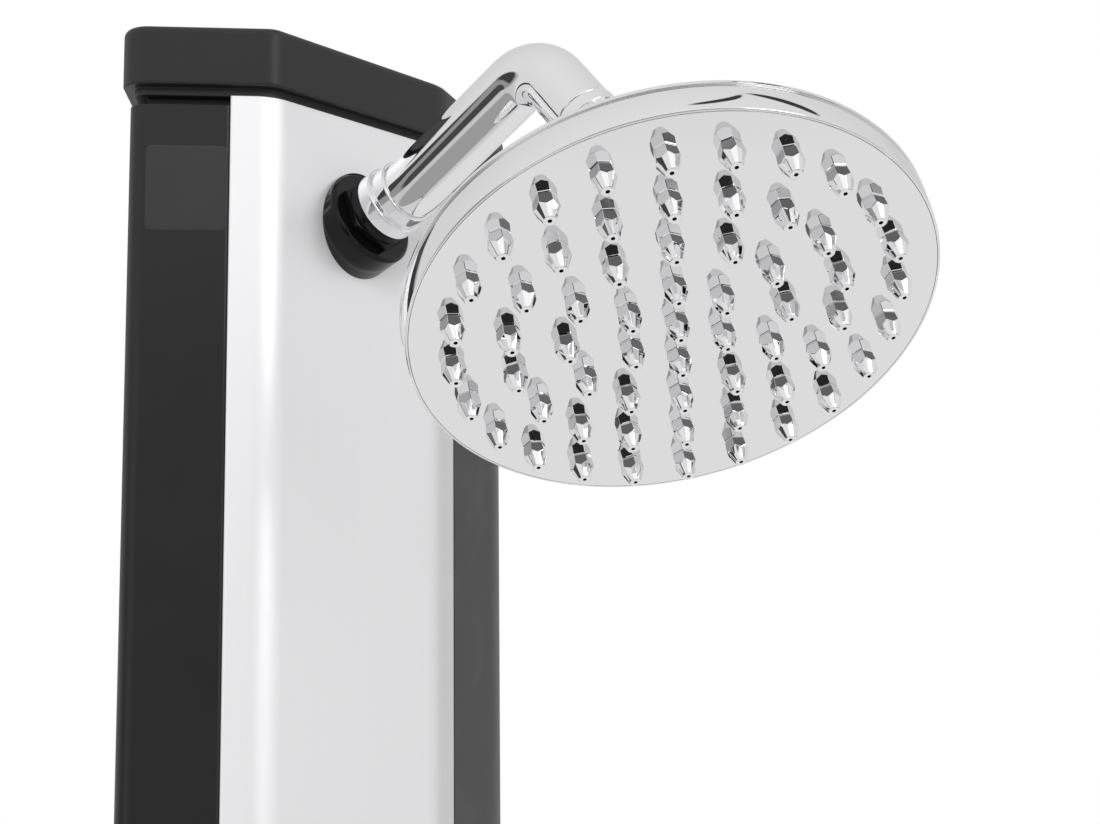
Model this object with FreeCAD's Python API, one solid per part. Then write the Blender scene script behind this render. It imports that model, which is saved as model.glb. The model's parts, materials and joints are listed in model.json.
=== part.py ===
import FreeCAD, Part
import math
import os

# Free-standing solar shower: a bent aluminium front on a black shell, with a water tank inside,
# a short arm with a swivelling rain head, a lever mixer and a foot tap.
# Millimetres, +Z up, origin on the floor at the middle of the base plate's four bolt holes.

V = FreeCAD.Vector
UP = V(0, 0, 1)

# Column section, walked from the front bend: face widths, headings in degrees, corner radii
FRONT_BEND_X = -15.0
FRONT_BEND_Y = -82.0
FRONT_WIDTH = 46.0
CHAMFER_WIDTH = 76.6
CHAMFER_HEADING = 45.0
SIDE_WIDTH = 74.7
SIDE_HEADING = 68.0
TAPER_WIDTH = 41.8
TAPER_HEADING = 100.0
LEFT_RADIUS = 6.0
FRONT_BEND_RADIUS = 15.0
SIDE_BEND_RADIUS = 20.0
TAPER_RADIUS = 60.0
BACK_RADIUS = 25.0
SMALLEST_RADIUS = 0.5

# Column heights
COLUMN_TOP = 2148.5
CAP_NECK = 2.75
CAP_HEIGHT = 19.7
PLATE_THICKNESS = 6.0

# Walls of the column
SHEET = 2.0
SHELL_WALL = 3.0
FRONT_STRIP = 13.5
SIDE_STRIP = 16.5
SEAM = 0.3
SHELL_DROP = 3.2
LIP_WIDTH = 10.0
LIP_WALL = 2.8
LIP_GAP = 0.2

# Top cap
CAP_OVERHANG = 2.5
CAP_BEND_RADIUS = 8.0
CAP_EDGE_RADIUS = 2.5
CAP_ROOF = 3.5
NECK_INSET = 1.2
PLUG_DEPTH = 18.0
PLUG_WALL = 2.6
PLUG_GAP = 0.4

# Base plate and shoe
PLATE_X = 190.0
PLATE_Y = 230.0
PLATE_RADIUS = 20.0
BOLT_SPACING_X = 154.0
BOLT_SPACING_Y = 194.0
BOLT_HOLE_RADIUS = 6.0
SHOE_HEIGHT = 70.0
SHOE_WALL = 3.0
SHOE_GAP = 0.3
SHOE_TOE = 9.0
SHOE_TOE_HEIGHT = 5.0
SCREW_RADIUS = 2.0
SCREW_HEAD_RADIUS = 4.0
SCREW_HEAD_HEIGHT = 2.2
SCREW_LENGTH = 9.0
SHOE_SCREW_HEIGHT = 46.0
FIT = 0.05
EDGE_BREAK = 1.0
ROSE_LIP = 2.0

# Water tank and the stand below it
TANK_ABOVE_MANIFOLD = 60.0
TANK_HEADROOM = 88.5
TANK_GAP = 1.5
TANK_WALL = 3.0
TANK_CLEARANCE = 6.0
LID_THICKNESS = 6.0
STAND_INSET = 4.0
STAND_WALL = 3.0
STAND_WINDOW_HALF = 35.0

# Pipes behind the chamfer
PIPE_RADIUS = 6.0
PIPE_BORE = 4.5
PIPE_BEND = 16.0
PIPE_DEPTH = 20.0
PIPE_SPREAD = 24.0
PIPE_SOCKET = 10.0
SOCKET_RADIUS = 8.5

# Manifold, hose inlet and foot tap
MANIFOLD_HEIGHT = 240.0
MANIFOLD_DEPTH = 20.0
MANIFOLD_WIDTH = 66.0
MANIFOLD_TALL = 24.0
INLET_X = -12.0
INLET_THREAD_RADIUS = 13.2
INLET_THREAD_LENGTH = 15.0
INLET_HEX_FLATS = 34.0
INLET_HEX_LENGTH = 8.0
INLET_SHANK_RADIUS = 10.0
INLET_BORE = 6.5
INLET_WASHER = 2.0
INLET_WASHER_RADIUS = 19.0
INLET_NUT_LENGTH = 7.0
INLET_TAIL = 28.0
FEED_OFFSET = 16.0
TANK_FEED_OFFSET = -10.0
TANK_FEED_DEPTH = 64.0
TAP_SHANK_RADIUS = 10.0
TAP_BODY_RADIUS = 12.0
TAP_BODY_LENGTH = 50.0
TAP_BORE = 5.0
TAP_ROSE_RADIUS = 24.0
TAP_ROSE_THICKNESS = 5.0
TAP_SPOUT_REACH = 34.0
TAP_SPOUT_RADIUS = 8.0
TAP_SPOUT_DROP = 34.0
TAP_AERATOR_RADIUS = 9.5
TAP_AERATOR_LENGTH = 10.0
TAP_AERATOR_LIP = 3.3
TAP_STEM_RADIUS = 4.0
TAP_STEM_LENGTH = 14.0
TAP_HUB_RADIUS = 10.5
TAP_HUB_LENGTH = 13.0
TAP_HUB_GAP = 0.4
TAP_LEVER_LENGTH = 52.0
TAP_LEVER_WIDTH = 11.0
TAP_LEVER_THICKNESS = 6.0

# Mixer
MIXER_HEIGHT = 1080.0
MIXER_BODY_RADIUS = 19.0
MIXER_BODY_DEPTH = 34.0
MIXER_NECK_RADIUS = 16.0
MIXER_NECK_LENGTH = 12.0
MIXER_CARTRIDGE_RADIUS = 13.0
MIXER_CARTRIDGE_LENGTH = 26.0
MIXER_ROSE_RADIUS = 34.0
MIXER_ROSE_THICKNESS = 6.0
MIXER_SLEEVE_RADIUS = 20.0
MIXER_SLEEVE_LENGTH = 14.0
MIXER_PORT_OFFSET = 26.0
SPINDLE_RADIUS = 5.0
SPINDLE_PIVOT = 33.0
SPINDLE_PIN_RADIUS = 2.0
SPINDLE_PIN_LENGTH = 26.0
HANDLE_RADIUS = 18.0
HANDLE_LIFT = 20.0
HANDLE_SLOT_GAP = 0.4
LEVER_REACH = 78.0
LEVER_WIDTH = 17.0
LEVER_TIP_WIDTH = 12.0
LEVER_THICKNESS = 8.0
LEVER_DROOP = 12.0

# Shower arm: tail through the chamfer, rising run, tight bend and drop to the ball
ARM_ALONG = 39.0
ARM_BELOW_TOP = 36.0
ARM_RADIUS = 10.0
ARM_WALL = 1.5
TAIL_RISE = 20.0
ARM_RISE = 29.0
ARM_DROP = 48.3
TAIL_LENGTH = 28.2
TAIL_INSIDE = 20.0
RISE_LENGTH = 60.5
DROP_LENGTH = 53.3
ARM_SOFT_BEND = 60.0
ARM_TIGHT_BEND = 14.0
ELBOW_WALL = 3.5
ELBOW_END = 4.0
ELBOW_LEG = 34.0
FLANGE_WALL = 7.0
FLANGE_THICKNESS = 6.5
FLANGE_CHAMFER = 1.0
LOCK_NUT_WALL = 1.8
LOCK_NUT_HEX = 3.0
LOCK_NUT_NECK = 0.9
LOCK_NUT_LENGTH = 6.0
COLLAR_WALL = 2.0
COLLAR_BAND = 5.6
COLLAR_GROOVE = 0.8
COLLAR_GROOVE_DEPTH = 0.5
COLLAR_FRONT_WALL = 1.0
COLLAR_LENGTH = 11.5
COLLAR_CHAMFER = 0.6

# Swivel between arm and head
BALL_RADIUS = 12.0
STUD_NECK_RADIUS = 5.6
STUD_NECK = 5.0
STUD_CONE_LENGTH = 4.0
STUD_SLEEVE_LIP = 0.4
STUD_SLEEVE_LENGTH = 4.0
STUD_SPIGOT = 9.0
STUD_BORE = 4.0
SEAT_WALL = 3.0
SEAT_TOP_ANGLE = 58.0
SEAT_BOTTOM_ANGLE = 88.0
SWIVEL_GAP = 0.08
NUT_LIP_ANGLE = 56.0
NUT_LIP = 1.0
NUT_WALL = 3.0
NUT_SKIRT = 14.0
NUT_CHAMFER = 2.0
NUT_RIBS = 24
NUT_RIB_RADIUS = 0.9
CUP_TOP = 5.0
WATERWAY_RADIUS = 7.0

# Rain head, with depths measured from the ball centre along the spray
HEAD_TURN = 11.64
HEAD_TILT = 33.14
HEAD_ROLL = -19.4
HEAD_RADIUS = 74.4
TIP_DEPTH = 70.0
NOZZLE_HEIGHT = 7.6
RIM_HEIGHT = 10.4
HEAD_WALL = 2.4
RIM_EDGE_RADIUS = 1.0
REAR_STEP = 2.6
REAR_STEP_HEIGHT = 2.2
RIM_GROOVE = 0.6
RIM_GROOVE_DEPTH = 0.5
RIM_GROOVE_FROM_REAR = 1.4
BOSS_WALL = 4.4
BOSS_FLARE = 10.5
CONE_RISE = 9.0
PLATE_EDGE_GAP = 0.4
FACE_PLATE = 3.5
GASKET_THICKNESS = 1.5
GASKET_WIDTH = 4.0
FLOW_DISC_RADIUS = 40.0
FLOW_DISC_THICKNESS = 2.0
FLOW_DISC_POST = 3.0
RING_RADII = [14.8, 30.5, 46.2, 61.8]
NOZZLES_PER_RING = 6
NOZZLE_SIDES = 6
NOZZLE_BASE_RADIUS = 3.3
NOZZLE_BELT_RADIUS = 3.4
NOZZLE_BELT_HEIGHT = 3.5
NOZZLE_TIP_RADIUS = 1.8
NOZZLE_BORE = 0.5
NOZZLE_SHANK = 1.6


def heading(angle):
    """Level unit vector at an angle from +X."""
    return V(math.cos(math.radians(angle)), math.sin(math.radians(angle)), 0)


# Corner points of the column section and the chamfer's own directions
FRONT_BEND = V(FRONT_BEND_X, FRONT_BEND_Y, 0)
ALONG_CHAMFER = heading(CHAMFER_HEADING)
OUT_OF_CHAMFER = heading(CHAMFER_HEADING - 90)
ALONG_SIDE = heading(SIDE_HEADING)
OUT_OF_SIDE = heading(SIDE_HEADING - 90)
LEFT_CORNER = FRONT_BEND - V(FRONT_WIDTH, 0, 0)
SIDE_BEND = FRONT_BEND + ALONG_CHAMFER * CHAMFER_WIDTH
TAPER_CORNER = SIDE_BEND + ALONG_SIDE * SIDE_WIDTH
BACK_CORNER = TAPER_CORNER + heading(TAPER_HEADING) * TAPER_WIDTH
BACK_LEFT = V(LEFT_CORNER.x, BACK_CORNER.y, 0)
SECTION = [
    (LEFT_CORNER, LEFT_RADIUS),
    (FRONT_BEND, FRONT_BEND_RADIUS),
    (SIDE_BEND, SIDE_BEND_RADIUS),
    (TAPER_CORNER, TAPER_RADIUS),
    (BACK_CORNER, BACK_RADIUS),
    (BACK_LEFT, BACK_RADIUS),
]
CAP_SECTION = [
    (corner, CAP_BEND_RADIUS - CAP_OVERHANG if corner == FRONT_BEND else radius)
    for corner, radius in SECTION
]
ARM_LINE = FRONT_BEND + ALONG_CHAMFER * ARM_ALONG

# Heights and depths that follow from the sizes above
ARM_HEIGHT = COLUMN_TOP - ARM_BELOW_TOP
TANK_TOP = COLUMN_TOP - TANK_HEADROOM
TANK_BOTTOM = MANIFOLD_HEIGHT + TANK_ABOVE_MANIFOLD
TANK_SETBACK = SHEET + MIXER_BODY_DEPTH + TANK_CLEARANCE
SHELL_TOP = COLUMN_TOP - SHELL_DROP

# Radii of the pieces round the arm's tube
ELBOW_RADIUS = ARM_RADIUS + ELBOW_WALL
FLANGE_RADIUS = ARM_RADIUS + FLANGE_WALL
LOCK_NUT_FLATS = 2 * (ARM_RADIUS + LOCK_NUT_WALL)
LOCK_NUT_NECK_RADIUS = ARM_RADIUS + LOCK_NUT_NECK
COLLAR_RADIUS = ARM_RADIUS + COLLAR_WALL
COLLAR_FRONT_RADIUS = ARM_RADIUS + COLLAR_FRONT_WALL
STUD_SLEEVE_RADIUS = ARM_RADIUS + STUD_SLEEVE_LIP

# Frames: X out of the chamfer and Y along it; X along the arm's tail
CHAMFER_TURN = FreeCAD.Rotation(UP, CHAMFER_HEADING - 90)
CHAMFER_FRAME = FreeCAD.Placement(ARM_LINE, CHAMFER_TURN)
TAIL_LOCAL = FreeCAD.Placement(V(0, 0, ARM_HEIGHT), FreeCAD.Rotation(V(0, 1, 0), -TAIL_RISE))
TAIL_FRAME = CHAMFER_FRAME.multiply(TAIL_LOCAL)


def rise_direction(angle):
    """Unit vector in the arm's upright plane, rising at an angle."""
    return V(math.cos(math.radians(angle)), 0, math.sin(math.radians(angle)))


# Corners of the arm's centre line, in the chamfer frame
ARM_ROOT = V(0, 0, ARM_HEIGHT)
ARM_TAIL_END = ARM_ROOT - rise_direction(TAIL_RISE) * TAIL_INSIDE
ARM_FIRST_CORNER = ARM_ROOT + rise_direction(TAIL_RISE) * TAIL_LENGTH
ARM_SECOND_CORNER = ARM_FIRST_CORNER + rise_direction(ARM_RISE) * RISE_LENGTH
BALL_LOCAL = ARM_SECOND_CORNER + rise_direction(-ARM_DROP) * DROP_LENGTH
BALL_CENTRE = CHAMFER_FRAME.multVec(BALL_LOCAL)
STUD_AXIS = CHAMFER_TURN.multVec(rise_direction(-ARM_DROP) * -1)
STUD_FRAME = FreeCAD.Placement(BALL_CENTRE, FreeCAD.Rotation(UP, STUD_AXIS))
HEAD_LEAN = FreeCAD.Rotation(UP, HEAD_TURN).multiply(FreeCAD.Rotation(V(1, 0, 0), -HEAD_TILT))
HEAD_FRAME = FreeCAD.Placement(BALL_CENTRE, HEAD_LEAN.multiply(FreeCAD.Rotation(UP, HEAD_ROLL)))

# Levels of the head below the ball centre, and sizes of the swivel round the ball
FACE_LEVEL = NOZZLE_HEIGHT - TIP_DEPTH
RIM_REAR = FACE_LEVEL + RIM_HEIGHT
SEAT_RADIUS = BALL_RADIUS + SWIVEL_GAP
SOCKET_SPHERE = SEAT_RADIUS + SEAT_WALL + SWIVEL_GAP
BOSS_RADIUS = SEAT_RADIUS + BOSS_WALL
BOSS_FLARE_RADIUS = BOSS_RADIUS + BOSS_FLARE
NUT_RADIUS = BOSS_RADIUS + NUT_WALL
NUT_TOP = SOCKET_SPHERE * math.cos(math.radians(NUT_LIP_ANGLE)) + NUT_LIP
STUD_NECK_LENGTH = BALL_RADIUS + STUD_NECK
STUD_LENGTH = STUD_NECK_LENGTH + STUD_CONE_LENGTH + STUD_SLEEVE_LENGTH


def placed(shape, frame):
    """A copy of a shape moved from a local frame into the part's frame."""
    moved = shape.copy()
    moved.Placement = frame.multiply(moved.Placement)
    return moved


def fused(shapes):
    """One solid from overlapping or touching shapes."""
    return shapes[0].multiFuse(shapes[1:]).removeSplitter()


def inset(section, depth):
    """A section moved inwards by a depth, with its corner radii reduced to match."""
    result = []
    for index, (corner, radius) in enumerate(section):
        arriving = (corner - section[index - 1][0]).normalize()
        leaving = (section[(index + 1) % len(section)][0] - corner).normalize()
        inward_1 = V(-arriving.y, arriving.x, 0)
        inward_2 = V(-leaving.y, leaving.x, 0)
        shift = (inward_1 + inward_2) * (depth / (1 + inward_1.dot(inward_2)))
        result.append((corner + shift, max(radius - depth, SMALLEST_RADIUS)))
    return result


def section_face(section):
    """Flat face of a section, with an arc at each corner."""
    arcs = []
    for index, (corner, radius) in enumerate(section):
        back = (section[index - 1][0] - corner).normalize()
        ahead = (section[(index + 1) % len(section)][0] - corner).normalize()
        half = back.getAngle(ahead) / 2
        reach = radius / math.tan(half)
        to_middle = (back + ahead).normalize() * (radius / math.sin(half) - radius)
        arcs.append((corner + back * reach, corner + to_middle, corner + ahead * reach))
    edges = []
    for index, (start, middle, end) in enumerate(arcs):
        edges.append(Part.Arc(start, middle, end).toShape())
        edges.append(Part.makeLine(end, arcs[(index + 1) % len(arcs)][0]))
    return Part.Face(Part.Wire(edges))


def column_prism(depth, low, high, section=SECTION):
    """Upright solid of the column section, or of another one, inset by a depth."""
    face = section_face(inset(section, depth))
    face.translate(V(0, 0, low))
    return face.extrude(V(0, 0, high - low))


def column_ring(outer, inner, low, high):
    """Upright wall between two insets of the column section."""
    return column_prism(outer, low, high).cut(column_prism(inner, low, high))


def upright(points, low, high):
    """Upright solid of a polygon."""
    corners = [V(p.x, p.y, low) for p in points]
    return Part.Face(Part.makePolygon(corners + corners[:1])).extrude(V(0, 0, high - low))


def rod(radius, start, length, axis=V(1, 0, 0)):
    """Round bar from a point along an axis."""
    return Part.makeCylinder(radius, length, start, axis)


def hex_bar(flats, start, length, axis=V(1, 0, 0)):
    """Six-sided bar from a point along an axis, with its corners turned down at both ends."""
    corner = flats / math.sqrt(3)
    points = [heading(60 * k) * corner for k in range(7)]
    bar = Part.Face(Part.makePolygon(points)).extrude(V(0, 0, length))
    round_radius = (corner + flats / 2) / 2
    slope = corner - round_radius
    blank = turned([
        (0, 0), (round_radius, 0), (corner, slope), (corner, length - slope), (round_radius, length), (0, length)])
    return placed(bar.common(blank), FreeCAD.Placement(start, FreeCAD.Rotation(UP, axis)))


def turned(profile):
    """Solid of revolution about Z from a closed profile of (radius, height) points."""
    points = [V(radius, 0, height) for radius, height in profile]
    return Part.Face(Part.makePolygon(points + points[:1])).revolve(V(0, 0, 0), UP, 360)


def route(points, radii):
    """Wire of straight runs through points, joined by tangent arcs of the given radii."""
    edges = []
    start = points[0]
    for before, corner, after, radius in zip(points, points[1:], points[2:], radii):
        back = (before - corner).normalize()
        ahead = (after - corner).normalize()
        half = back.getAngle(ahead) / 2
        reach = radius / math.tan(half)
        to_middle = (back + ahead).normalize() * (radius / math.sin(half) - radius)
        edges.append(Part.makeLine(start, corner + back * reach))
        edges.append(Part.Arc(corner + back * reach, corner + to_middle, corner + ahead * reach).toShape())
        start = corner + ahead * reach
    edges.append(Part.makeLine(start, points[-1]))
    return Part.Wire(edges)


def tube(points, radii, outer, bore):
    """Hollow round tube along a route."""
    path = route(points, radii)
    direction = points[1] - points[0]
    rings = [Part.Wire(Part.makeCircle(radius, points[0], direction)) for radius in (outer, bore)]
    solids = [path.makePipeShell([ring], True, False) for ring in rings]
    return solids[0].cut(solids[1])


def strip_zone(margin):
    """Plan polygon that holds the aluminium front, widened or narrowed along the section by a margin."""
    reach = CHAMFER_WIDTH
    depth = SHELL_WALL + LIP_WALL + LIP_WIDTH
    front_end = FRONT_BEND - V(FRONT_STRIP + margin, 0, 0)
    side_end = SIDE_BEND + ALONG_SIDE * (SIDE_STRIP + margin)
    return [
        front_end - V(0, reach, 0),
        FRONT_BEND + OUT_OF_CHAMFER * reach,
        SIDE_BEND + OUT_OF_CHAMFER * reach,
        side_end + OUT_OF_SIDE * reach,
        side_end - OUT_OF_SIDE * depth,
        front_end + V(0, depth, 0),
    ]


def tail_bar(radius, start, length):
    """Round bar along the arm's tail axis, placed in the part's frame."""
    return placed(rod(radius, V(start, 0, 0), length), TAIL_FRAME)


def half_space(low, high):
    """Block covering the levels low to high out of the chamfer's face, over the whole column."""
    size = COLUMN_TOP
    return placed(Part.makeBox(high - low, 2 * size, 2 * size, V(low, -size, 0)), CHAMFER_FRAME)


def aluminium_front():
    """Bent sheet with a front strip, the chamfer and a side strip, drilled for arm, mixer and tap."""
    ring = column_ring(0, SHEET, PLATE_THICKNESS, COLUMN_TOP)
    sheet = ring.common(upright(strip_zone(0), PLATE_THICKNESS, COLUMN_TOP))
    holes = [
        placed(rod(MIXER_NECK_RADIUS + FIT, V(-2 * SHEET, 0, MIXER_HEIGHT), 4 * SHEET), CHAMFER_FRAME),
        placed(rod(TAP_SHANK_RADIUS + FIT, V(-2 * SHEET, 0, MANIFOLD_HEIGHT), 4 * SHEET), CHAMFER_FRAME),
        tail_bar(ARM_RADIUS + FIT, -TAIL_INSIDE, TAIL_INSIDE + FLANGE_THICKNESS),
    ]
    return sheet.cut(Part.makeCompound(holes))


def shoe_screw_places():
    """Outer points and outward directions of the shoe's screws, on the left and back faces."""
    left = V(LEFT_CORNER.x, (LEFT_CORNER.y + BACK_LEFT.y) / 2, SHOE_SCREW_HEIGHT)
    back = V((BACK_CORNER.x + BACK_LEFT.x) / 2, BACK_LEFT.y, SHOE_SCREW_HEIGHT)
    return [(left, V(-1, 0, 0)), (back, V(0, 1, 0))]


def inlet_place():
    """Point where the hose inlet's axis leaves the back wall."""
    return V(INLET_X, BACK_LEFT.y, MANIFOLD_HEIGHT)


def black_shell():
    """Black wall round the left, back and right, with a lip behind each edge of the aluminium front."""
    wall = column_ring(0, SHELL_WALL, PLATE_THICKNESS, SHELL_TOP)
    wall = wall.cut(upright(strip_zone(SEAM), PLATE_THICKNESS, SHELL_TOP))
    lip_inset = SHEET + LIP_GAP
    lip = column_ring(lip_inset, lip_inset + LIP_WALL, PLATE_THICKNESS, SHELL_TOP)
    lip = lip.common(upright(strip_zone(LIP_WIDTH), PLATE_THICKNESS, SHELL_TOP))
    lip = lip.cut(upright(strip_zone(-LIP_WIDTH), PLATE_THICKNESS, SHELL_TOP))
    shell = fused([wall] + lip.Solids)
    holes = [rod(SCREW_RADIUS + FIT, place - out * 2 * SHELL_WALL, 4 * SHELL_WALL, out)
             for place, out in shoe_screw_places()]
    holes.append(rod(INLET_SHANK_RADIUS + FIT, inlet_place() - V(0, 2 * SHELL_WALL, 0), 4 * SHELL_WALL, V(0, 1, 0)))
    return shell.cut(Part.makeCompound(holes))


def top_cap():
    """Overhanging cap with a rounded top edge, a recessed neck and a plug inside the column."""
    skirt_low = COLUMN_TOP + CAP_NECK
    block = column_prism(-CAP_OVERHANG, skirt_low, skirt_low + CAP_HEIGHT, CAP_SECTION)
    top_edges = [edge for edge in block.Edges if edge.BoundBox.ZMin > skirt_low + CAP_HEIGHT - FIT]
    block = block.makeFillet(CAP_EDGE_RADIUS, top_edges)
    neck = column_prism(NECK_INSET, COLUMN_TOP, skirt_low)
    plug_inset = SHEET + LIP_GAP + LIP_WALL + PLUG_GAP
    plug = column_prism(plug_inset, COLUMN_TOP - PLUG_DEPTH, skirt_low)
    hollow = column_prism(
        plug_inset + PLUG_WALL, COLUMN_TOP - PLUG_DEPTH, skirt_low + CAP_HEIGHT - CAP_ROOF)
    return fused([block, neck, plug]).cut(hollow)


def base_plate():
    """Steel plate with rounded corners and four bolt holes."""
    half_x = PLATE_X / 2
    half_y = PLATE_Y / 2
    corners = [V(-half_x, -half_y, 0), V(half_x, -half_y, 0), V(half_x, half_y, 0), V(-half_x, half_y, 0)]
    plate = section_face([(corner, PLATE_RADIUS) for corner in corners]).extrude(UP * PLATE_THICKNESS)
    holes = [rod(BOLT_HOLE_RADIUS, V(x, y, 0), PLATE_THICKNESS, UP)
             for x in (-BOLT_SPACING_X / 2, BOLT_SPACING_X / 2)
             for y in (-BOLT_SPACING_Y / 2, BOLT_SPACING_Y / 2)]
    return plate.cut(Part.makeCompound(holes))


def base_shoe():
    """Moulded shoe round the column's foot, with a low toe on the plate."""
    outer = -(SHOE_GAP + SHOE_WALL)
    top = PLATE_THICKNESS + SHOE_HEIGHT
    skirt = column_ring(outer, -SHOE_GAP, PLATE_THICKNESS, top)
    toe = column_ring(-SHOE_TOE, -SHOE_GAP, PLATE_THICKNESS, PLATE_THICKNESS + SHOE_TOE_HEIGHT)
    holes = [rod(SCREW_RADIUS + FIT, place, SHOE_TOE, out) for place, out in shoe_screw_places()]
    return fused([skirt, toe]).cut(Part.makeCompound(holes))


def shoe_screws():
    """Pan-head screws through the shoe into the shell."""
    screws = []
    for place, out in shoe_screw_places():
        seat = place + out * (SHOE_GAP + SHOE_WALL)
        profile = [
            (0, -SCREW_LENGTH), (SCREW_RADIUS, -SCREW_LENGTH), (SCREW_RADIUS, 0), (SCREW_HEAD_RADIUS, 0),
            (SCREW_HEAD_RADIUS, SCREW_HEAD_HEIGHT / 2), (SCREW_HEAD_RADIUS / 2, SCREW_HEAD_HEIGHT),
            (0, SCREW_HEAD_HEIGHT)]
        screws.append(placed(turned(profile), FreeCAD.Placement(seat, FreeCAD.Rotation(UP, out))))
    return Part.makeCompound(screws)


def tank_prism(depth, low, high):
    """Upright solid of the tank's section, behind the pipe space, inset by a further depth."""
    block = column_prism(SHELL_WALL + TANK_GAP + depth, low, high)
    return block.common(half_space(-COLUMN_TOP, -TANK_SETBACK - depth))


def hot_pipe_start():
    """Place in the chamfer frame where the hot pipe leaves the tank's top lid."""
    return V(-TANK_SETBACK - 2 * PIPE_BEND, PIPE_SPREAD, TANK_TOP)


def tank_feed_end():
    """Place in the chamfer frame where the feed enters the tank's bottom lid."""
    return V(-TANK_FEED_DEPTH, TANK_FEED_OFFSET, TANK_BOTTOM)


def tank_wall():
    """Extruded black tank wall between the two lids."""
    low = TANK_BOTTOM + LID_THICKNESS
    high = TANK_TOP - LID_THICKNESS
    return tank_prism(0, low, high).cut(tank_prism(TANK_WALL, low, high))


def tank_lid(low, port):
    """Flat tank end with a socket hole for one pipe."""
    lid = tank_prism(0, low, low + LID_THICKNESS)
    hole = placed(rod(PIPE_RADIUS + FIT, V(port.x, port.y, low), LID_THICKNESS, UP), CHAMFER_FRAME)
    return lid.cut(hole)


def tank_stand():
    """Hollow pedestal from the base plate to the tank, with windows for the pipes and the inlet."""
    outer = tank_prism(STAND_INSET, PLATE_THICKNESS, TANK_BOTTOM)
    inner = tank_prism(STAND_INSET + STAND_WALL, PLATE_THICKNESS, TANK_BOTTOM)
    low = MANIFOLD_HEIGHT - STAND_WINDOW_HALF
    tall = 2 * STAND_WINDOW_HALF
    front_window = Part.makeBox(TANK_SETBACK, MANIFOLD_WIDTH, tall)
    front_window.translate(V(-2 * TANK_SETBACK, -MANIFOLD_WIDTH / 2, low))
    back_place = inlet_place()
    back_half = INLET_HEX_FLATS / math.sqrt(3) + STAND_WALL
    back_window = Part.makeBox(2 * back_half, TANK_SETBACK, tall)
    back_window.translate(V(back_place.x - back_half, back_place.y - TANK_SETBACK, low))
    return outer.cut(inner).cut(placed(front_window, CHAMFER_FRAME)).cut(back_window)


def manifold():
    """Brass block that splits the cold water between mixer, tank and foot tap."""
    back = -PIPE_DEPTH - MANIFOLD_DEPTH / 2
    block = Part.makeBox(MANIFOLD_DEPTH, MANIFOLD_WIDTH, MANIFOLD_TALL)
    block.translate(V(back, -MANIFOLD_WIDTH / 2, MANIFOLD_HEIGHT - MANIFOLD_TALL / 2))
    top = MANIFOLD_HEIGHT + MANIFOLD_TALL / 2
    half = MANIFOLD_DEPTH / 2
    ports = [
        rod(PIPE_RADIUS + FIT, V(-PIPE_DEPTH, -PIPE_SPREAD, top - PIPE_SOCKET), PIPE_SOCKET, UP),
        rod(PIPE_RADIUS + FIT, V(back, FEED_OFFSET, MANIFOLD_HEIGHT), half),
        rod(PIPE_RADIUS + FIT, V(back, TANK_FEED_OFFSET, MANIFOLD_HEIGHT), half),
        rod(TAP_SHANK_RADIUS + FIT, V(-PIPE_DEPTH, 0, MANIFOLD_HEIGHT), half),
        rod(PIPE_BORE, V(-PIPE_DEPTH, -PIPE_SPREAD, MANIFOLD_HEIGHT), 2 * PIPE_SPREAD, V(0, 1, 0)),
    ]
    return placed(block.cut(Part.makeCompound(ports)), CHAMFER_FRAME)


def tank_feed_pipe():
    """Bent pipe from the manifold's back up into the tank's bottom lid."""
    end = tank_feed_end()
    points = [
        V(-PIPE_DEPTH - MANIFOLD_DEPTH / 2 + PIPE_SOCKET / 2, end.y, MANIFOLD_HEIGHT),
        V(end.x, end.y, MANIFOLD_HEIGHT),
        V(end.x, end.y, TANK_BOTTOM + LID_THICKNESS)]
    return placed(tube(points, [PIPE_BEND], PIPE_RADIUS, PIPE_BORE), CHAMFER_FRAME)


def feed_pipe():
    """Pipe from the hose inlet across the column's foot to the manifold's back."""
    inlet_end = inlet_place() - V(0, SHELL_WALL + INLET_TAIL, 0)
    into_block = V(-PIPE_DEPTH - MANIFOLD_DEPTH / 2 + PIPE_SOCKET / 2, FEED_OFFSET, MANIFOLD_HEIGHT)
    block_end = CHAMFER_FRAME.multVec(into_block)
    inward = OUT_OF_CHAMFER * -1
    run = (inlet_end.x - block_end.x) / inward.x
    corner = block_end + inward * run
    start = inlet_end + V(0, PIPE_SOCKET, 0)
    return tube([start, corner, block_end], [PIPE_BEND], PIPE_RADIUS, PIPE_BORE)


def inlet_nipple():
    """Brass hose inlet with an outside thread, a hexagon and a shank through the back wall."""
    wall_out = inlet_place()
    out = V(0, 1, 0)
    hex_start = wall_out + out * INLET_WASHER
    thread_start = hex_start + out * INLET_HEX_LENGTH
    tail_start = wall_out - out * (SHELL_WALL + INLET_TAIL)
    solid = fused([
        rod(INLET_SHANK_RADIUS, tail_start, SHELL_WALL + INLET_TAIL + INLET_WASHER, out),
        hex_bar(INLET_HEX_FLATS, hex_start, INLET_HEX_LENGTH, out),
        rod(INLET_THREAD_RADIUS, thread_start, INLET_THREAD_LENGTH, out)])
    length = SHELL_WALL + INLET_TAIL + INLET_WASHER + INLET_HEX_LENGTH + INLET_THREAD_LENGTH
    socket = rod(PIPE_RADIUS + FIT, tail_start, PIPE_SOCKET, out)
    return solid.cut(socket).cut(rod(INLET_BORE - FIT, tail_start + out * PIPE_SOCKET, length, out))


def inlet_washer():
    """Rubber washer between the back wall and the inlet's hexagon."""
    start = inlet_place()
    disc = rod(INLET_WASHER_RADIUS, start, INLET_WASHER, V(0, 1, 0))
    return disc.cut(rod(INLET_SHANK_RADIUS + FIT, start, INLET_WASHER, V(0, 1, 0)))


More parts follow.
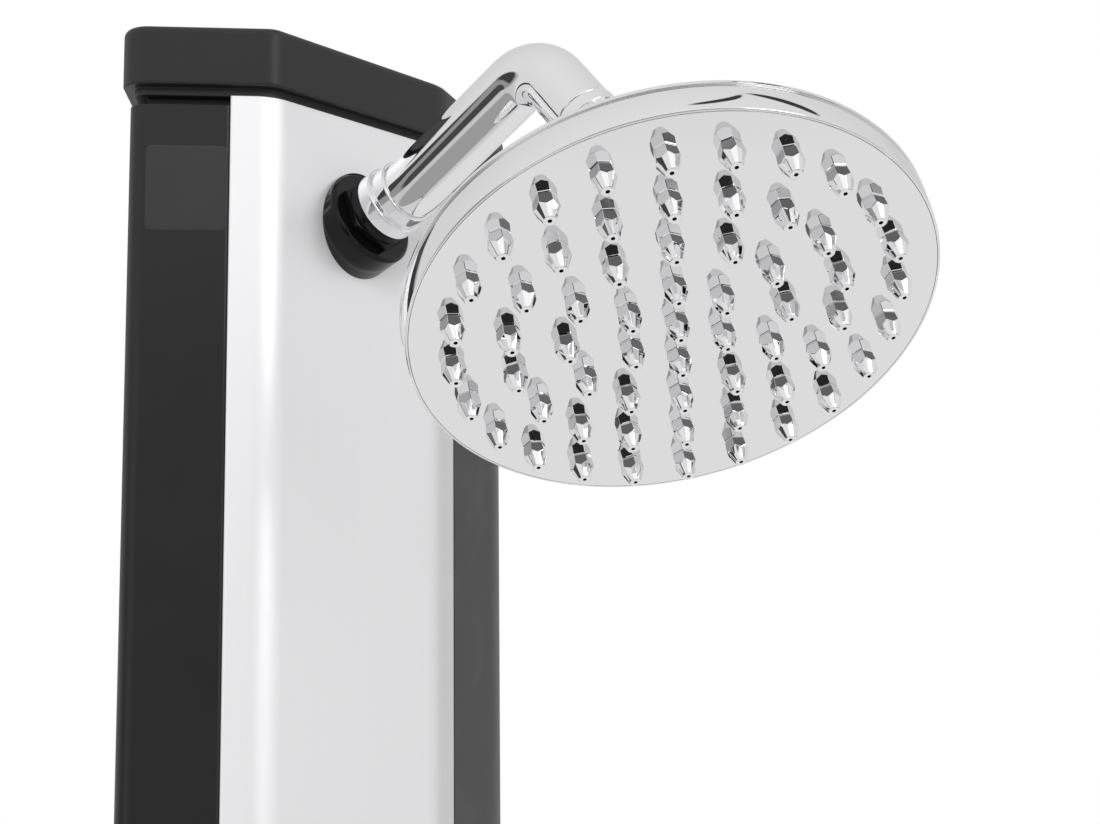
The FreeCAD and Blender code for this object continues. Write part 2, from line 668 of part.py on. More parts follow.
def inlet_nut():
    """Nut that clamps the inlet from inside the wall."""
    start = inlet_place() - V(0, SHELL_WALL, 0)
    nut = hex_bar(INLET_HEX_FLATS, start, INLET_NUT_LENGTH, V(0, -1, 0))
    return nut.cut(rod(INLET_SHANK_RADIUS + FIT, start, INLET_NUT_LENGTH, V(0, -1, 0)))


def foot_tap_rose():
    """Round chrome plate between the chamfer and the foot tap."""
    profile = [
        (TAP_SHANK_RADIUS + FIT, 0), (TAP_ROSE_RADIUS, 0), (TAP_ROSE_RADIUS, ROSE_LIP),
        (TAP_BODY_RADIUS + TAP_ROSE_THICKNESS, TAP_ROSE_THICKNESS), (TAP_SHANK_RADIUS + FIT, TAP_ROSE_THICKNESS)]
    frame = FreeCAD.Placement(V(0, 0, MANIFOLD_HEIGHT), FreeCAD.Rotation(UP, V(1, 0, 0)))
    return placed(turned(profile), CHAMFER_FRAME.multiply(frame))


def foot_tap_body():
    """Chrome tap body with a shank through the chamfer and a spout pointing down."""
    start = V(TAP_ROSE_THICKNESS, 0, MANIFOLD_HEIGHT)
    shank = rod(TAP_SHANK_RADIUS, V(-PIPE_DEPTH, 0, MANIFOLD_HEIGHT), PIPE_DEPTH + TAP_ROSE_THICKNESS)
    barrel = rod(TAP_BODY_RADIUS, start, TAP_BODY_LENGTH)
    top = V(TAP_ROSE_THICKNESS + TAP_SPOUT_REACH, 0, MANIFOLD_HEIGHT)
    spout = rod(TAP_SPOUT_RADIUS, top, TAP_SPOUT_DROP, V(0, 0, -1))
    solid = fused([shank, barrel, spout])
    stem_hole = rod(
        TAP_STEM_RADIUS + FIT, start + V(TAP_BODY_LENGTH - TAP_STEM_LENGTH, 0, 0), TAP_STEM_LENGTH)
    bores = [
        rod(TAP_BORE, V(-PIPE_DEPTH, 0, MANIFOLD_HEIGHT), PIPE_DEPTH + TAP_ROSE_THICKNESS + TAP_SPOUT_REACH),
        rod(TAP_BORE, top, TAP_SPOUT_DROP, V(0, 0, -1)),
        stem_hole]
    return placed(solid.cut(Part.makeCompound(bores)), CHAMFER_FRAME)


def foot_tap_aerator():
    """Chrome ring round the end of the foot tap's spout."""
    low = MANIFOLD_HEIGHT - TAP_SPOUT_DROP - TAP_AERATOR_LIP
    profile = [
        (TAP_BORE, low), (TAP_AERATOR_RADIUS - EDGE_BREAK, low), (TAP_AERATOR_RADIUS, low + EDGE_BREAK),
        (TAP_AERATOR_RADIUS, low + TAP_AERATOR_LENGTH), (TAP_SPOUT_RADIUS + FIT, low + TAP_AERATOR_LENGTH),
        (TAP_SPOUT_RADIUS + FIT, MANIFOLD_HEIGHT - TAP_SPOUT_DROP), (TAP_BORE, MANIFOLD_HEIGHT - TAP_SPOUT_DROP)]
    frame = FreeCAD.Placement(V(TAP_ROSE_THICKNESS + TAP_SPOUT_REACH, 0, 0), FreeCAD.Rotation())
    return placed(turned(profile), CHAMFER_FRAME.multiply(frame))


def foot_tap_handle():
    """Quarter-turn handle: a hub on its stem with a flat rounded lever to the right."""
    hub_start = V(TAP_ROSE_THICKNESS + TAP_BODY_LENGTH + TAP_HUB_GAP, 0, MANIFOLD_HEIGHT)
    hub = rod(TAP_HUB_RADIUS, hub_start, TAP_HUB_LENGTH)
    stem_start = hub_start - V(TAP_STEM_LENGTH - TAP_HUB_GAP, 0, 0)
    stem = rod(TAP_STEM_RADIUS, stem_start, TAP_STEM_LENGTH)
    lever_start = hub_start + V(TAP_HUB_LENGTH - TAP_LEVER_THICKNESS, 0, 0)
    lever = Part.makeBox(TAP_LEVER_THICKNESS, TAP_LEVER_LENGTH, TAP_LEVER_WIDTH)
    lever.translate(lever_start - V(0, 0, TAP_LEVER_WIDTH / 2))
    tip = rod(TAP_LEVER_WIDTH / 2, lever_start + V(0, TAP_LEVER_LENGTH, 0), TAP_LEVER_THICKNESS)
    return placed(fused([hub, stem, lever, tip]), CHAMFER_FRAME)


def mixer_body():
    """Brass mixer valve behind the chamfer, with a neck through it and sockets for three pipes."""
    centre = V(-PIPE_DEPTH, 0, MIXER_HEIGHT)
    barrel = rod(MIXER_BODY_RADIUS, V(-SHEET - MIXER_BODY_DEPTH, 0, MIXER_HEIGHT), MIXER_BODY_DEPTH)
    neck = rod(MIXER_NECK_RADIUS, V(-SHEET, 0, MIXER_HEIGHT), SHEET + MIXER_NECK_LENGTH)
    arms = rod(SOCKET_RADIUS, centre - V(0, PIPE_SPREAD, 0), 2 * PIPE_SPREAD, V(0, 1, 0))
    reach = MIXER_PORT_OFFSET + PIPE_SOCKET
    sockets = [
        rod(SOCKET_RADIUS, centre - V(0, PIPE_SPREAD, reach), reach, UP),
        rod(SOCKET_RADIUS, centre + V(0, PIPE_SPREAD, 0), reach, UP),
        rod(SOCKET_RADIUS, centre, reach, UP)]
    ends = [
        Part.makeSphere(SOCKET_RADIUS, centre - V(0, PIPE_SPREAD, 0)),
        Part.makeSphere(SOCKET_RADIUS, centre + V(0, PIPE_SPREAD, 0))]
    pockets = [
        rod(PIPE_RADIUS + FIT, centre - V(0, PIPE_SPREAD, reach), PIPE_SOCKET, UP),
        rod(PIPE_RADIUS + FIT, centre + V(0, PIPE_SPREAD, MIXER_PORT_OFFSET), PIPE_SOCKET, UP),
        rod(PIPE_RADIUS + FIT, centre + V(0, 0, MIXER_PORT_OFFSET), PIPE_SOCKET, UP),
        rod(PIPE_BORE, centre - V(0, PIPE_SPREAD, MIXER_PORT_OFFSET), MIXER_PORT_OFFSET, UP),
        rod(PIPE_BORE, centre + V(0, PIPE_SPREAD, 0), MIXER_PORT_OFFSET, UP),
        rod(PIPE_BORE, centre, MIXER_PORT_OFFSET, UP),
        rod(PIPE_BORE, centre - V(0, PIPE_SPREAD, 0), 2 * PIPE_SPREAD, V(0, 1, 0)),
        rod(MIXER_CARTRIDGE_RADIUS + FIT, V(MIXER_NECK_LENGTH - MIXER_CARTRIDGE_LENGTH, 0, MIXER_HEIGHT),
            MIXER_CARTRIDGE_LENGTH)]
    solid = fused([barrel, neck, arms] + sockets + ends).cut(Part.makeCompound(pockets))
    return placed(solid, CHAMFER_FRAME)


def mixer_cartridge():
    """Ceramic cartridge inside the mixer's neck, drilled for the spindle."""
    start = V(MIXER_NECK_LENGTH - MIXER_CARTRIDGE_LENGTH, 0, MIXER_HEIGHT)
    solid = rod(MIXER_CARTRIDGE_RADIUS, start, MIXER_CARTRIDGE_LENGTH)
    return placed(solid.cut(rod(SPINDLE_RADIUS + FIT, start, MIXER_CARTRIDGE_LENGTH)), CHAMFER_FRAME)


def mixer_rose():
    """Chrome cover plate with a raised sleeve round the mixer's neck."""
    bore = MIXER_NECK_RADIUS + FIT
    profile = [
        (bore, 0), (MIXER_ROSE_RADIUS, 0), (MIXER_ROSE_RADIUS, ROSE_LIP),
        (MIXER_SLEEVE_RADIUS + MIXER_ROSE_THICKNESS, MIXER_ROSE_THICKNESS),
        (MIXER_SLEEVE_RADIUS, MIXER_ROSE_THICKNESS), (MIXER_SLEEVE_RADIUS, MIXER_SLEEVE_LENGTH - EDGE_BREAK),
        (MIXER_SLEEVE_RADIUS - EDGE_BREAK, MIXER_SLEEVE_LENGTH), (bore, MIXER_SLEEVE_LENGTH)]
    frame = FreeCAD.Placement(V(0, 0, MIXER_HEIGHT), FreeCAD.Rotation(UP, V(1, 0, 0)))
    return placed(turned(profile), CHAMFER_FRAME.multiply(frame))


def mixer_spindle():
    """Turning spindle with the cross pin that carries the handle."""
    inside = V(MIXER_NECK_LENGTH - MIXER_CARTRIDGE_LENGTH, 0, MIXER_HEIGHT)
    stem = rod(SPINDLE_RADIUS, inside, SPINDLE_PIVOT - inside.x)
    crown = Part.makeSphere(SPINDLE_RADIUS, V(SPINDLE_PIVOT, 0, MIXER_HEIGHT))
    pin_start = V(SPINDLE_PIVOT, -SPINDLE_PIN_LENGTH / 2, MIXER_HEIGHT)
    pin = rod(SPINDLE_PIN_RADIUS, pin_start, SPINDLE_PIN_LENGTH, V(0, 1, 0))
    return placed(fused([stem, crown, pin]), CHAMFER_FRAME)


def mixer_handle():
    """Round handle on the cross pin, slotted for the spindle, with a lever that reaches out and down."""
    pivot = V(SPINDLE_PIVOT, 0, MIXER_HEIGHT)
    knob = Part.makeSphere(HANDLE_RADIUS, pivot)
    lever_length = LEVER_REACH - SPINDLE_PIVOT
    corners = [
        V(0, -LEVER_WIDTH / 2, 0), V(lever_length, -LEVER_TIP_WIDTH / 2, 0),
        V(lever_length, LEVER_TIP_WIDTH / 2, 0), V(0, LEVER_WIDTH / 2, 0)]
    bar = Part.Face(Part.makePolygon(corners + corners[:1])).extrude(UP * LEVER_THICKNESS)
    bar.translate(V(0, 0, -LEVER_THICKNESS / 2))
    tip = rod(LEVER_TIP_WIDTH / 2, V(lever_length, 0, -LEVER_THICKNESS / 2), LEVER_THICKNESS, UP)
    lever = fused([bar, tip])
    lean = FreeCAD.Placement(pivot, FreeCAD.Rotation(V(0, 1, 0), LEVER_DROOP))
    solid = fused([knob, placed(lever, lean)])
    half = SPINDLE_RADIUS + HANDLE_SLOT_GAP
    depth = 2 * HANDLE_RADIUS
    flare = half + depth * math.tan(math.radians(HANDLE_LIFT))
    outline = [V(0, -half, half), V(0, -half, -half), V(-depth, -half, -flare), V(-depth, -half, flare)]
    slot = Part.Face(Part.makePolygon(outline + outline[:1])).extrude(V(0, 2 * half, 0))
    slot.translate(pivot)
    crown_room = rod(half, pivot - V(0, half, 0), 2 * half, V(0, 1, 0))
    pin_hole = rod(
        SPINDLE_PIN_RADIUS + FIT, pivot - V(0, SPINDLE_PIN_LENGTH / 2, 0), SPINDLE_PIN_LENGTH, V(0, 1, 0))
    return placed(solid.cut(Part.makeCompound([slot, crown_room, pin_hole])), CHAMFER_FRAME)


def cold_pipe():
    """Straight pipe from the manifold up to the mixer's cold side."""
    low = MANIFOLD_HEIGHT + MANIFOLD_TALL / 2 - PIPE_SOCKET
    high = MIXER_HEIGHT - MIXER_PORT_OFFSET
    start = V(-PIPE_DEPTH, -PIPE_SPREAD, low)
    solid = rod(PIPE_RADIUS, start, high - low, UP).cut(rod(PIPE_BORE, start, high - low, UP))
    return placed(solid, CHAMFER_FRAME)


def hot_pipe():
    """Pipe from the tank's top over into the pipe space and down to the mixer's hot side."""
    start = hot_pipe_start()
    over = TANK_TOP + 2 * PIPE_BEND
    points = [
        start - V(0, 0, LID_THICKNESS), V(start.x, start.y, over), V(-PIPE_DEPTH, PIPE_SPREAD, over),
        V(-PIPE_DEPTH, PIPE_SPREAD, MIXER_HEIGHT + MIXER_PORT_OFFSET)]
    return placed(tube(points, [PIPE_BEND, PIPE_BEND], PIPE_RADIUS, PIPE_BORE), CHAMFER_FRAME)


def elbow_low():
    """Height of the lower end of the arm elbow's leg."""
    return ARM_HEIGHT - ELBOW_LEG


def riser_pipe():
    """Straight pipe from the mixer's top up to the arm's elbow."""
    low = MIXER_HEIGHT + MIXER_PORT_OFFSET
    start = V(-PIPE_DEPTH, 0, low)
    length = elbow_low() + PIPE_SOCKET - low
    solid = rod(PIPE_RADIUS, start, length, UP).cut(rod(PIPE_BORE, start, length, UP))
    return placed(solid, CHAMFER_FRAME)


def arm_elbow():
    """Brass elbow seated inside the chamfer: holds the arm's tail and the riser pipe."""
    cup = tail_bar(ELBOW_RADIUS, -TAIL_INSIDE - ELBOW_END, TAIL_INSIDE + ELBOW_END + ELBOW_RADIUS)
    leg_start = V(-PIPE_DEPTH, 0, elbow_low())
    leg = placed(rod(SOCKET_RADIUS, leg_start, ELBOW_LEG, UP), CHAMFER_FRAME)
    solid = fused([cup, leg]).cut(half_space(-SHEET, COLUMN_TOP))
    bores = [
        tail_bar(ARM_RADIUS + FIT, -TAIL_INSIDE, 2 * TAIL_INSIDE),
        placed(rod(PIPE_RADIUS + FIT, leg_start, PIPE_SOCKET, UP), CHAMFER_FRAME),
        placed(rod(PIPE_BORE, leg_start, ELBOW_LEG - PIPE_DEPTH * math.tan(math.radians(TAIL_RISE)), UP),
               CHAMFER_FRAME)]
    return solid.cut(Part.makeCompound(bores))


def arm_flange():
    """Round black flange on the arm's axis, cut flush with the chamfer."""
    bar = rod(FLANGE_RADIUS, V(-FLANGE_RADIUS, 0, 0), FLANGE_RADIUS + FLANGE_THICKNESS)
    rim = [edge for edge in bar.Edges if edge.BoundBox.XMin > FLANGE_THICKNESS - FIT]
    bar = bar.makeChamfer(FLANGE_CHAMFER, rim)
    bar = bar.cut(rod(ARM_RADIUS + FIT, V(-FLANGE_RADIUS, 0, 0), FLANGE_RADIUS + FLANGE_THICKNESS))
    return placed(bar, TAIL_FRAME).common(half_space(0, COLUMN_TOP))


def arm_lock_nut():
    """Thin black hexagon nut on the flange, with a round neck that carries the collar."""
    start = V(FLANGE_THICKNESS, 0, 0)
    nut = fused([
        hex_bar(LOCK_NUT_FLATS, start, LOCK_NUT_HEX), rod(LOCK_NUT_NECK_RADIUS, start, LOCK_NUT_LENGTH)])
    return placed(nut.cut(rod(ARM_RADIUS + FIT, start, LOCK_NUT_LENGTH)), TAIL_FRAME)


def arm_collar():
    """Chrome collar with a turned groove between its band and its slimmer front."""
    start = FLANGE_THICKNESS + LOCK_NUT_LENGTH
    bore = ARM_RADIUS + FIT
    groove = COLLAR_FRONT_RADIUS - COLLAR_GROOVE_DEPTH
    profile = [
        (bore, 0), (COLLAR_RADIUS - COLLAR_CHAMFER, 0), (COLLAR_RADIUS, COLLAR_CHAMFER),
        (COLLAR_RADIUS, COLLAR_BAND - COLLAR_CHAMFER), (COLLAR_RADIUS - COLLAR_CHAMFER, COLLAR_BAND),
        (groove, COLLAR_BAND), (groove, COLLAR_BAND + COLLAR_GROOVE),
        (COLLAR_FRONT_RADIUS, COLLAR_BAND + COLLAR_GROOVE), (COLLAR_FRONT_RADIUS, COLLAR_LENGTH - COLLAR_CHAMFER),
        (COLLAR_FRONT_RADIUS - COLLAR_CHAMFER, COLLAR_LENGTH), (bore, COLLAR_LENGTH)]
    frame = FreeCAD.Placement(V(start, 0, 0), FreeCAD.Rotation(UP, V(1, 0, 0)))
    return placed(turned(profile), TAIL_FRAME.multiply(frame))


def shower_arm():
    """Chrome tube from inside the chamfer, up, round a tight bend and down to the ball stud."""
    tube_end = BALL_LOCAL - rise_direction(-ARM_DROP) * STUD_LENGTH
    points = [ARM_TAIL_END, ARM_FIRST_CORNER, ARM_SECOND_CORNER, tube_end]
    solid = tube(points, [ARM_SOFT_BEND, ARM_TIGHT_BEND], ARM_RADIUS, ARM_RADIUS - ARM_WALL)
    return placed(solid, CHAMFER_FRAME)


def ball_stud():
    """Drilled ball on a neck, with a sleeve against the tube's end and a spigot inside it."""
    cone_end = STUD_NECK_LENGTH + STUD_CONE_LENGTH
    spigot = ARM_RADIUS - ARM_WALL - FIT
    profile = [
        (0, 0), (STUD_NECK_RADIUS, 0), (STUD_NECK_RADIUS, STUD_NECK_LENGTH), (STUD_SLEEVE_RADIUS, cone_end),
        (STUD_SLEEVE_RADIUS, STUD_LENGTH), (spigot, STUD_LENGTH), (spigot, STUD_LENGTH + STUD_SPIGOT),
        (0, STUD_LENGTH + STUD_SPIGOT)]
    solid = fused([Part.makeSphere(BALL_RADIUS), turned(profile)])
    bore = rod(STUD_BORE, V(0, 0, -BALL_RADIUS), BALL_RADIUS + STUD_LENGTH + STUD_SPIGOT, UP)
    return placed(solid.cut(bore), STUD_FRAME)


def sphere_cone(angle, reach):
    """Cone about +Z from the ball centre, of a half angle under 90 degrees."""
    return Part.makeCone(0, reach * math.tan(math.radians(angle)), reach)


def ball_seat():
    """Spherical ring that wraps the upper half of the ball."""
    reach = 2 * SOCKET_SPHERE
    ring = Part.makeSphere(SEAT_RADIUS + SEAT_WALL).cut(Part.makeSphere(SEAT_RADIUS))
    ring = ring.common(sphere_cone(SEAT_BOTTOM_ANGLE, reach)).cut(sphere_cone(SEAT_TOP_ANGLE, reach))
    return placed(ring, HEAD_FRAME)


def swivel_nut():
    """Ribbed nut that holds the seat and ball on the head's boss."""
    bore = BOSS_RADIUS + FIT
    profile = [
        (0, -NUT_SKIRT), (NUT_RADIUS, -NUT_SKIRT), (NUT_RADIUS, NUT_TOP - NUT_CHAMFER),
        (NUT_RADIUS - NUT_CHAMFER, NUT_TOP), (0, NUT_TOP)]
    blank = turned(profile)
    boss_room = rod(bore, V(0, 0, -NUT_SKIRT), NUT_SKIRT, UP)
    blank = blank.cut(Part.makeCompound([boss_room, Part.makeSphere(SOCKET_SPHERE)]))
    blank = blank.cut(sphere_cone(NUT_LIP_ANGLE, NUT_TOP))
    length = NUT_SKIRT + NUT_TOP
    grooves = [rod(NUT_RIB_RADIUS, heading(360 * k / NUT_RIBS) * NUT_RADIUS - V(0, 0, NUT_SKIRT), length, UP)
               for k in range(NUT_RIBS)]
    return placed(blank.cut(Part.makeCompound(grooves)), HEAD_FRAME)


def head_shell():
    """Turned chrome back of the head: boss with the ball cup, flared cone, rear step and rim."""
    rim_top = RIM_REAR
    step_radius = HEAD_RADIUS - REAR_STEP
    cone_low = rim_top + REAR_STEP_HEIGHT
    cone_high = cone_low + CONE_RISE
    groove_high = rim_top - RIM_GROOVE_FROM_REAR
    inner_rim = HEAD_RADIUS - HEAD_WALL
    plate_top = FACE_LEVEL + FACE_PLATE + GASKET_THICKNESS
    profile = [
        (0, -CUP_TOP), (BOSS_RADIUS, -CUP_TOP), (BOSS_RADIUS, cone_high + BOSS_FLARE),
        (BOSS_FLARE_RADIUS, cone_high), (step_radius, cone_low), (step_radius, rim_top), (HEAD_RADIUS, rim_top),
        (HEAD_RADIUS, groove_high), (HEAD_RADIUS - RIM_GROOVE_DEPTH, groove_high),
        (HEAD_RADIUS - RIM_GROOVE_DEPTH, groove_high - RIM_GROOVE), (HEAD_RADIUS, groove_high - RIM_GROOVE),
        (HEAD_RADIUS, FACE_LEVEL + RIM_EDGE_RADIUS), (HEAD_RADIUS - RIM_EDGE_RADIUS, FACE_LEVEL),
        (inner_rim, FACE_LEVEL), (inner_rim, plate_top), (inner_rim - GASKET_WIDTH, plate_top),
        (inner_rim - GASKET_WIDTH, rim_top), (step_radius - HEAD_WALL - GASKET_WIDTH, cone_low - HEAD_WALL),
        (BOSS_FLARE_RADIUS, cone_high - HEAD_WALL), (0, cone_high - HEAD_WALL)]
    solid = turned(profile)
    cup = Part.makeSphere(SEAT_RADIUS)
    waterway = rod(WATERWAY_RADIUS, V(0, 0, cone_high - 2 * HEAD_WALL), -cone_high + HEAD_WALL, UP)
    return placed(solid.cut(Part.makeCompound([cup, waterway])), HEAD_FRAME)


def head_gasket():
    """Flat rubber ring between the face plate and the head's shoulder."""
    outer = HEAD_RADIUS - HEAD_WALL - PLATE_EDGE_GAP
    low = FACE_LEVEL + FACE_PLATE
    inner = HEAD_RADIUS - HEAD_WALL - GASKET_WIDTH
    ring = turned([(inner, low), (outer, low), (outer, low + GASKET_THICKNESS), (inner, low + GASKET_THICKNESS)])
    return placed(ring, HEAD_FRAME)


def flow_disc():
    """Disc on short posts inside the head that spreads the water over the face."""
    low = FACE_LEVEL + FACE_PLATE
    high = low + FLOW_DISC_THICKNESS + FLOW_DISC_POST
    disc = rod(FLOW_DISC_RADIUS, V(0, 0, high - FLOW_DISC_THICKNESS), FLOW_DISC_THICKNESS, UP)
    between = (RING_RADII[0] + RING_RADII[1]) / 2
    posts = [rod(FLOW_DISC_POST, heading(120 * k) * between + V(0, 0, low), FLOW_DISC_POST, UP) for k in range(3)]
    return placed(fused([disc] + posts), HEAD_FRAME)


def nozzle_places():
    """Centres of the nozzles: one in the middle and rings that each hold one more set."""
    places = [V(0, 0, 0)]
    for ring, radius in enumerate(RING_RADII, start=1):
        count = NOZZLES_PER_RING * ring
        places += [heading(90 + 360 * k / count) * radius for k in range(count)]
    return places


def face_plate():
    """Flat mirror plate with one hole for each nozzle's shank."""
    radius = HEAD_RADIUS - HEAD_WALL - PLATE_EDGE_GAP
    plate = rod(radius, V(0, 0, FACE_LEVEL), FACE_PLATE, UP)
    holes = [rod(NOZZLE_SHANK + FIT, place + V(0, 0, FACE_LEVEL), FACE_PLATE, UP) for place in nozzle_places()]
    return placed(plate.cut(Part.makeCompound(holes)), HEAD_FRAME)


def nozzle_points():
    """Corners of the bullet: hexagon base, belt corners, belt middles between them, and a tip of twice as many."""
    half = 180 / NOZZLE_SIDES
    flat = math.cos(math.radians(half))
    widening = (NOZZLE_BELT_RADIUS - NOZZLE_BASE_RADIUS) / NOZZLE_BELT_HEIGHT
    narrowing = (NOZZLE_BELT_RADIUS - NOZZLE_TIP_RADIUS) / (NOZZLE_HEIGHT - NOZZLE_BELT_HEIGHT)
    cone_base = NOZZLE_TIP_RADIUS + narrowing * NOZZLE_HEIGHT
    # At the middle of a side, the side's plane meets the ridge of the cone at this height
    middle_height = (cone_base - flat * NOZZLE_BASE_RADIUS) / (flat * widening + narrowing)
    middle_radius = cone_base - narrowing * middle_height
    turns = [2 * half * k for k in range(NOZZLE_SIDES)]
    base = [heading(turn) * NOZZLE_BASE_RADIUS for turn in turns]
    corners = [heading(turn) * NOZZLE_BELT_RADIUS - UP * NOZZLE_BELT_HEIGHT for turn in turns]
    middles = [heading(turn + half) * middle_radius - UP * middle_height for turn in turns]
    tip = [heading(half * k) * NOZZLE_TIP_RADIUS - UP * NOZZLE_HEIGHT for k in range(2 * NOZZLE_SIDES)]
    return base, corners, middles, tip


def nozzle():
    """Faceted bullet pointing down from its base, with a shank above and a drilled bore."""
    base, corners, middles, tip = nozzle_points()
    outlines = [base, tip]
    for k in range(NOZZLE_SIDES):
        following = (k + 1) % NOZZLE_SIDES
        outlines.append([base[k], base[following], corners[following], middles[k], corners[k]])
        outlines.append([corners[k], middles[k], tip[2 * k + 1], tip[2 * k]])
        outlines.append([middles[k], corners[following], tip[2 * following], tip[2 * k + 1]])
    bullet = Part.Solid(Part.Shell([Part.Face(Part.makePolygon(outline + outline[:1])) for outline in outlines]))
    solid = fused([bullet, rod(NOZZLE_SHANK, V(0, 0, 0), FACE_PLATE, UP)])
    return solid.cut(rod(NOZZLE_BORE, V(0, 0, -NOZZLE_HEIGHT), NOZZLE_HEIGHT + FACE_PLATE, UP))


def spray_nozzles():
    """All nozzles, each turned so that one facet edge points away from the middle."""
    pattern = nozzle()
    copies = []
    for place in nozzle_places():
        outward = math.degrees(math.atan2(place.y, place.x))
        spot = FreeCAD.Placement(place + V(0, 0, FACE_LEVEL), FreeCAD.Rotation(UP, outward))
        copies.append(placed(pattern, HEAD_FRAME.multiply(spot)))
    return Part.makeCompound(copies)


NODES = {
    "base_plate": base_plate,
    "base_shoe": base_shoe,
    "shoe_screws": shoe_screws,
    "black_shell": black_shell,
    "aluminium_front": aluminium_front,
    "top_cap": top_cap,
    "tank_stand": tank_stand,
    "tank_wall": tank_wall,
    "tank_bottom_lid": lambda: tank_lid(TANK_BOTTOM, tank_feed_end()),
    "tank_top_lid": lambda: tank_lid(TANK_TOP - LID_THICKNESS, hot_pipe_start()),
    "inlet_nipple": inlet_nipple,
    "inlet_washer": inlet_washer,
    "inlet_nut": inlet_nut,
    "feed_pipe": feed_pipe,
    "manifold": manifold,
    "tank_feed_pipe": tank_feed_pipe,
    "cold_pipe": cold_pipe,
    "hot_pipe": hot_pipe,
    "riser_pipe": riser_pipe,
    "mixer_body": mixer_body,
    "mixer_cartridge": mixer_cartridge,
    "mixer_rose": mixer_rose,
    "mixer_spindle": mixer_spindle,
    "mixer_handle": mixer_handle,
    "foot_tap_rose": foot_tap_rose,
    "foot_tap_body": foot_tap_body,
    "foot_tap_aerator": foot_tap_aerator,
    "foot_tap_handle": foot_tap_handle,
    "arm_elbow": arm_elbow,
    "arm_flange": arm_flange,
    "arm_lock_nut": arm_lock_nut,
    "arm_collar": arm_collar,
    "shower_arm": shower_arm,
    "ball_stud": ball_stud,
    "ball_seat": ball_seat,
    "swivel_nut": swivel_nut,
    "head_shell": head_shell,
    "head_gasket": head_gasket,
    "flow_disc": flow_disc,
    "face_plate": face_plate,
    "spray_nozzles": spray_nozzles,
}

os.makedirs("parts", exist_ok=True)
for name, make in NODES.items():
    shape = make()
    shape.exportStep("parts/" + name + ".step")
    print(name, len(shape.Solids), "solids,", round(shape.Volume / 1000, 2), "cm3, valid", shape.isValid())
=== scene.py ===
"""Looks of a free-standing solar shower, worked out as surfaces round its solid model.

Each class is one sub-assembly: it holds its sizes in millimetres, builds its surfaces in a local
frame, places them in metres and dresses them. The solid model gives the places and the motion.
"""

import json
import logging
from dataclasses import dataclass, field
from enum import Enum

import bmesh
import bpy
import numpy as np
from mathutils import Matrix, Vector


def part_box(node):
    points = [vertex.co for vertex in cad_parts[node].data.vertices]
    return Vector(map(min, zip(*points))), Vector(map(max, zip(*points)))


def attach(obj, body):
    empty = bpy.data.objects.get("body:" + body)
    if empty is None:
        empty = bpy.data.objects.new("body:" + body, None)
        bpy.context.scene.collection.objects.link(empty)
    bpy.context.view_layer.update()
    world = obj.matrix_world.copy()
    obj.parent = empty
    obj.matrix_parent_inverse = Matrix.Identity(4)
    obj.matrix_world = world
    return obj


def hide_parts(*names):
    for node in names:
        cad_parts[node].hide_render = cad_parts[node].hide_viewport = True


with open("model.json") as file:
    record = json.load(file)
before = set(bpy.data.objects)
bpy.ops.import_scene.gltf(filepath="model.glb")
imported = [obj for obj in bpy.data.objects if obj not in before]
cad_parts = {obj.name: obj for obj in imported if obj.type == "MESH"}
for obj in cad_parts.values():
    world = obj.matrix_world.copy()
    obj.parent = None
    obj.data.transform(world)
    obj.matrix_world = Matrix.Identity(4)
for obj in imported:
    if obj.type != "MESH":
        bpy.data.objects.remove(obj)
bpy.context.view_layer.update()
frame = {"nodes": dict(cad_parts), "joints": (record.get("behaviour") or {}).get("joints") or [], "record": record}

SLOTS = {entry["node"]: entry["material_slot"] for entry in frame["record"]["subparts"]}
MM = 0.001
MERGE = 1e-6
# A held flat takes at most this share of the free length beside an arc, and at least this length
HOLD_SHARE = 0.4
LEAST_HOLD = 1e-4
# Steps round a hexagon, a multiple of its sides
HEXAGON_STEPS = 180
UP = np.array([0.0, 0.0, 1.0])
Array = np.ndarray
Numbers = np.ndarray | list | tuple
Colour = tuple[float, float, float]
Socket = bpy.types.NodeSocket
log = logging.getLogger("solar_shower")


class Shading(Enum):
    """How a piece's faces meet: rounded into each other or as flat facets."""

    SMOOTH = True
    FACETED = False


class Body(Enum):
    """Bodies of the model that a piece can ride on."""

    COLUMN = "column"
    HEAD = "rain_head"
    MIXER_LEVER = "mixer_lever"
    TAP_LEVER = "foot_tap_lever"


# Frames and curves


def unit(vectors: Array) -> Array:
    """Vectors scaled to length one along their last axis."""
    return vectors / np.linalg.norm(vectors, axis=-1, keepdims=True)


@dataclass(frozen=True, eq=False)
class Axes:
    """A local frame: its origin in metres, and its Z and X directions."""

    origin: Array
    z: Array
    x: Array

    def directions(self) -> Array:
        """The frame's X, Y and Z as rows of unit length at right angles."""
        z = unit(self.z)
        x = unit(self.x - z * np.dot(self.x, z))
        return np.stack([x, np.cross(z, x), z])

    def place(self, points: Array) -> Array:
        """Turns local millimetres into metres in the part's frame, p = origin + x X + y Y + z Z."""
        return self.origin + MM * (points @ self.directions())

    def local(self, places: Array) -> Array:
        """Turns metres in the part's frame back into local millimetres."""
        return (places - self.origin) @ self.directions().T / MM


def joint(name: str) -> dict:
    """The model's joint of that name."""
    return next(entry for entry in frame["joints"] if entry["name"] == name)


def joint_axis(name: str) -> Array:
    """A joint's axis as an array."""
    return np.array(joint(name)["axis"], float)


def joint_place(name: str) -> Array:
    """A point on a joint's axis, in metres."""
    return np.array(joint(name)["pos_m"], float)


def levels(node: str) -> tuple[float, float]:
    """Lowest and highest level of a solid, in millimetres."""
    low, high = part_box(node)
    return low.z / MM, high.z / MM


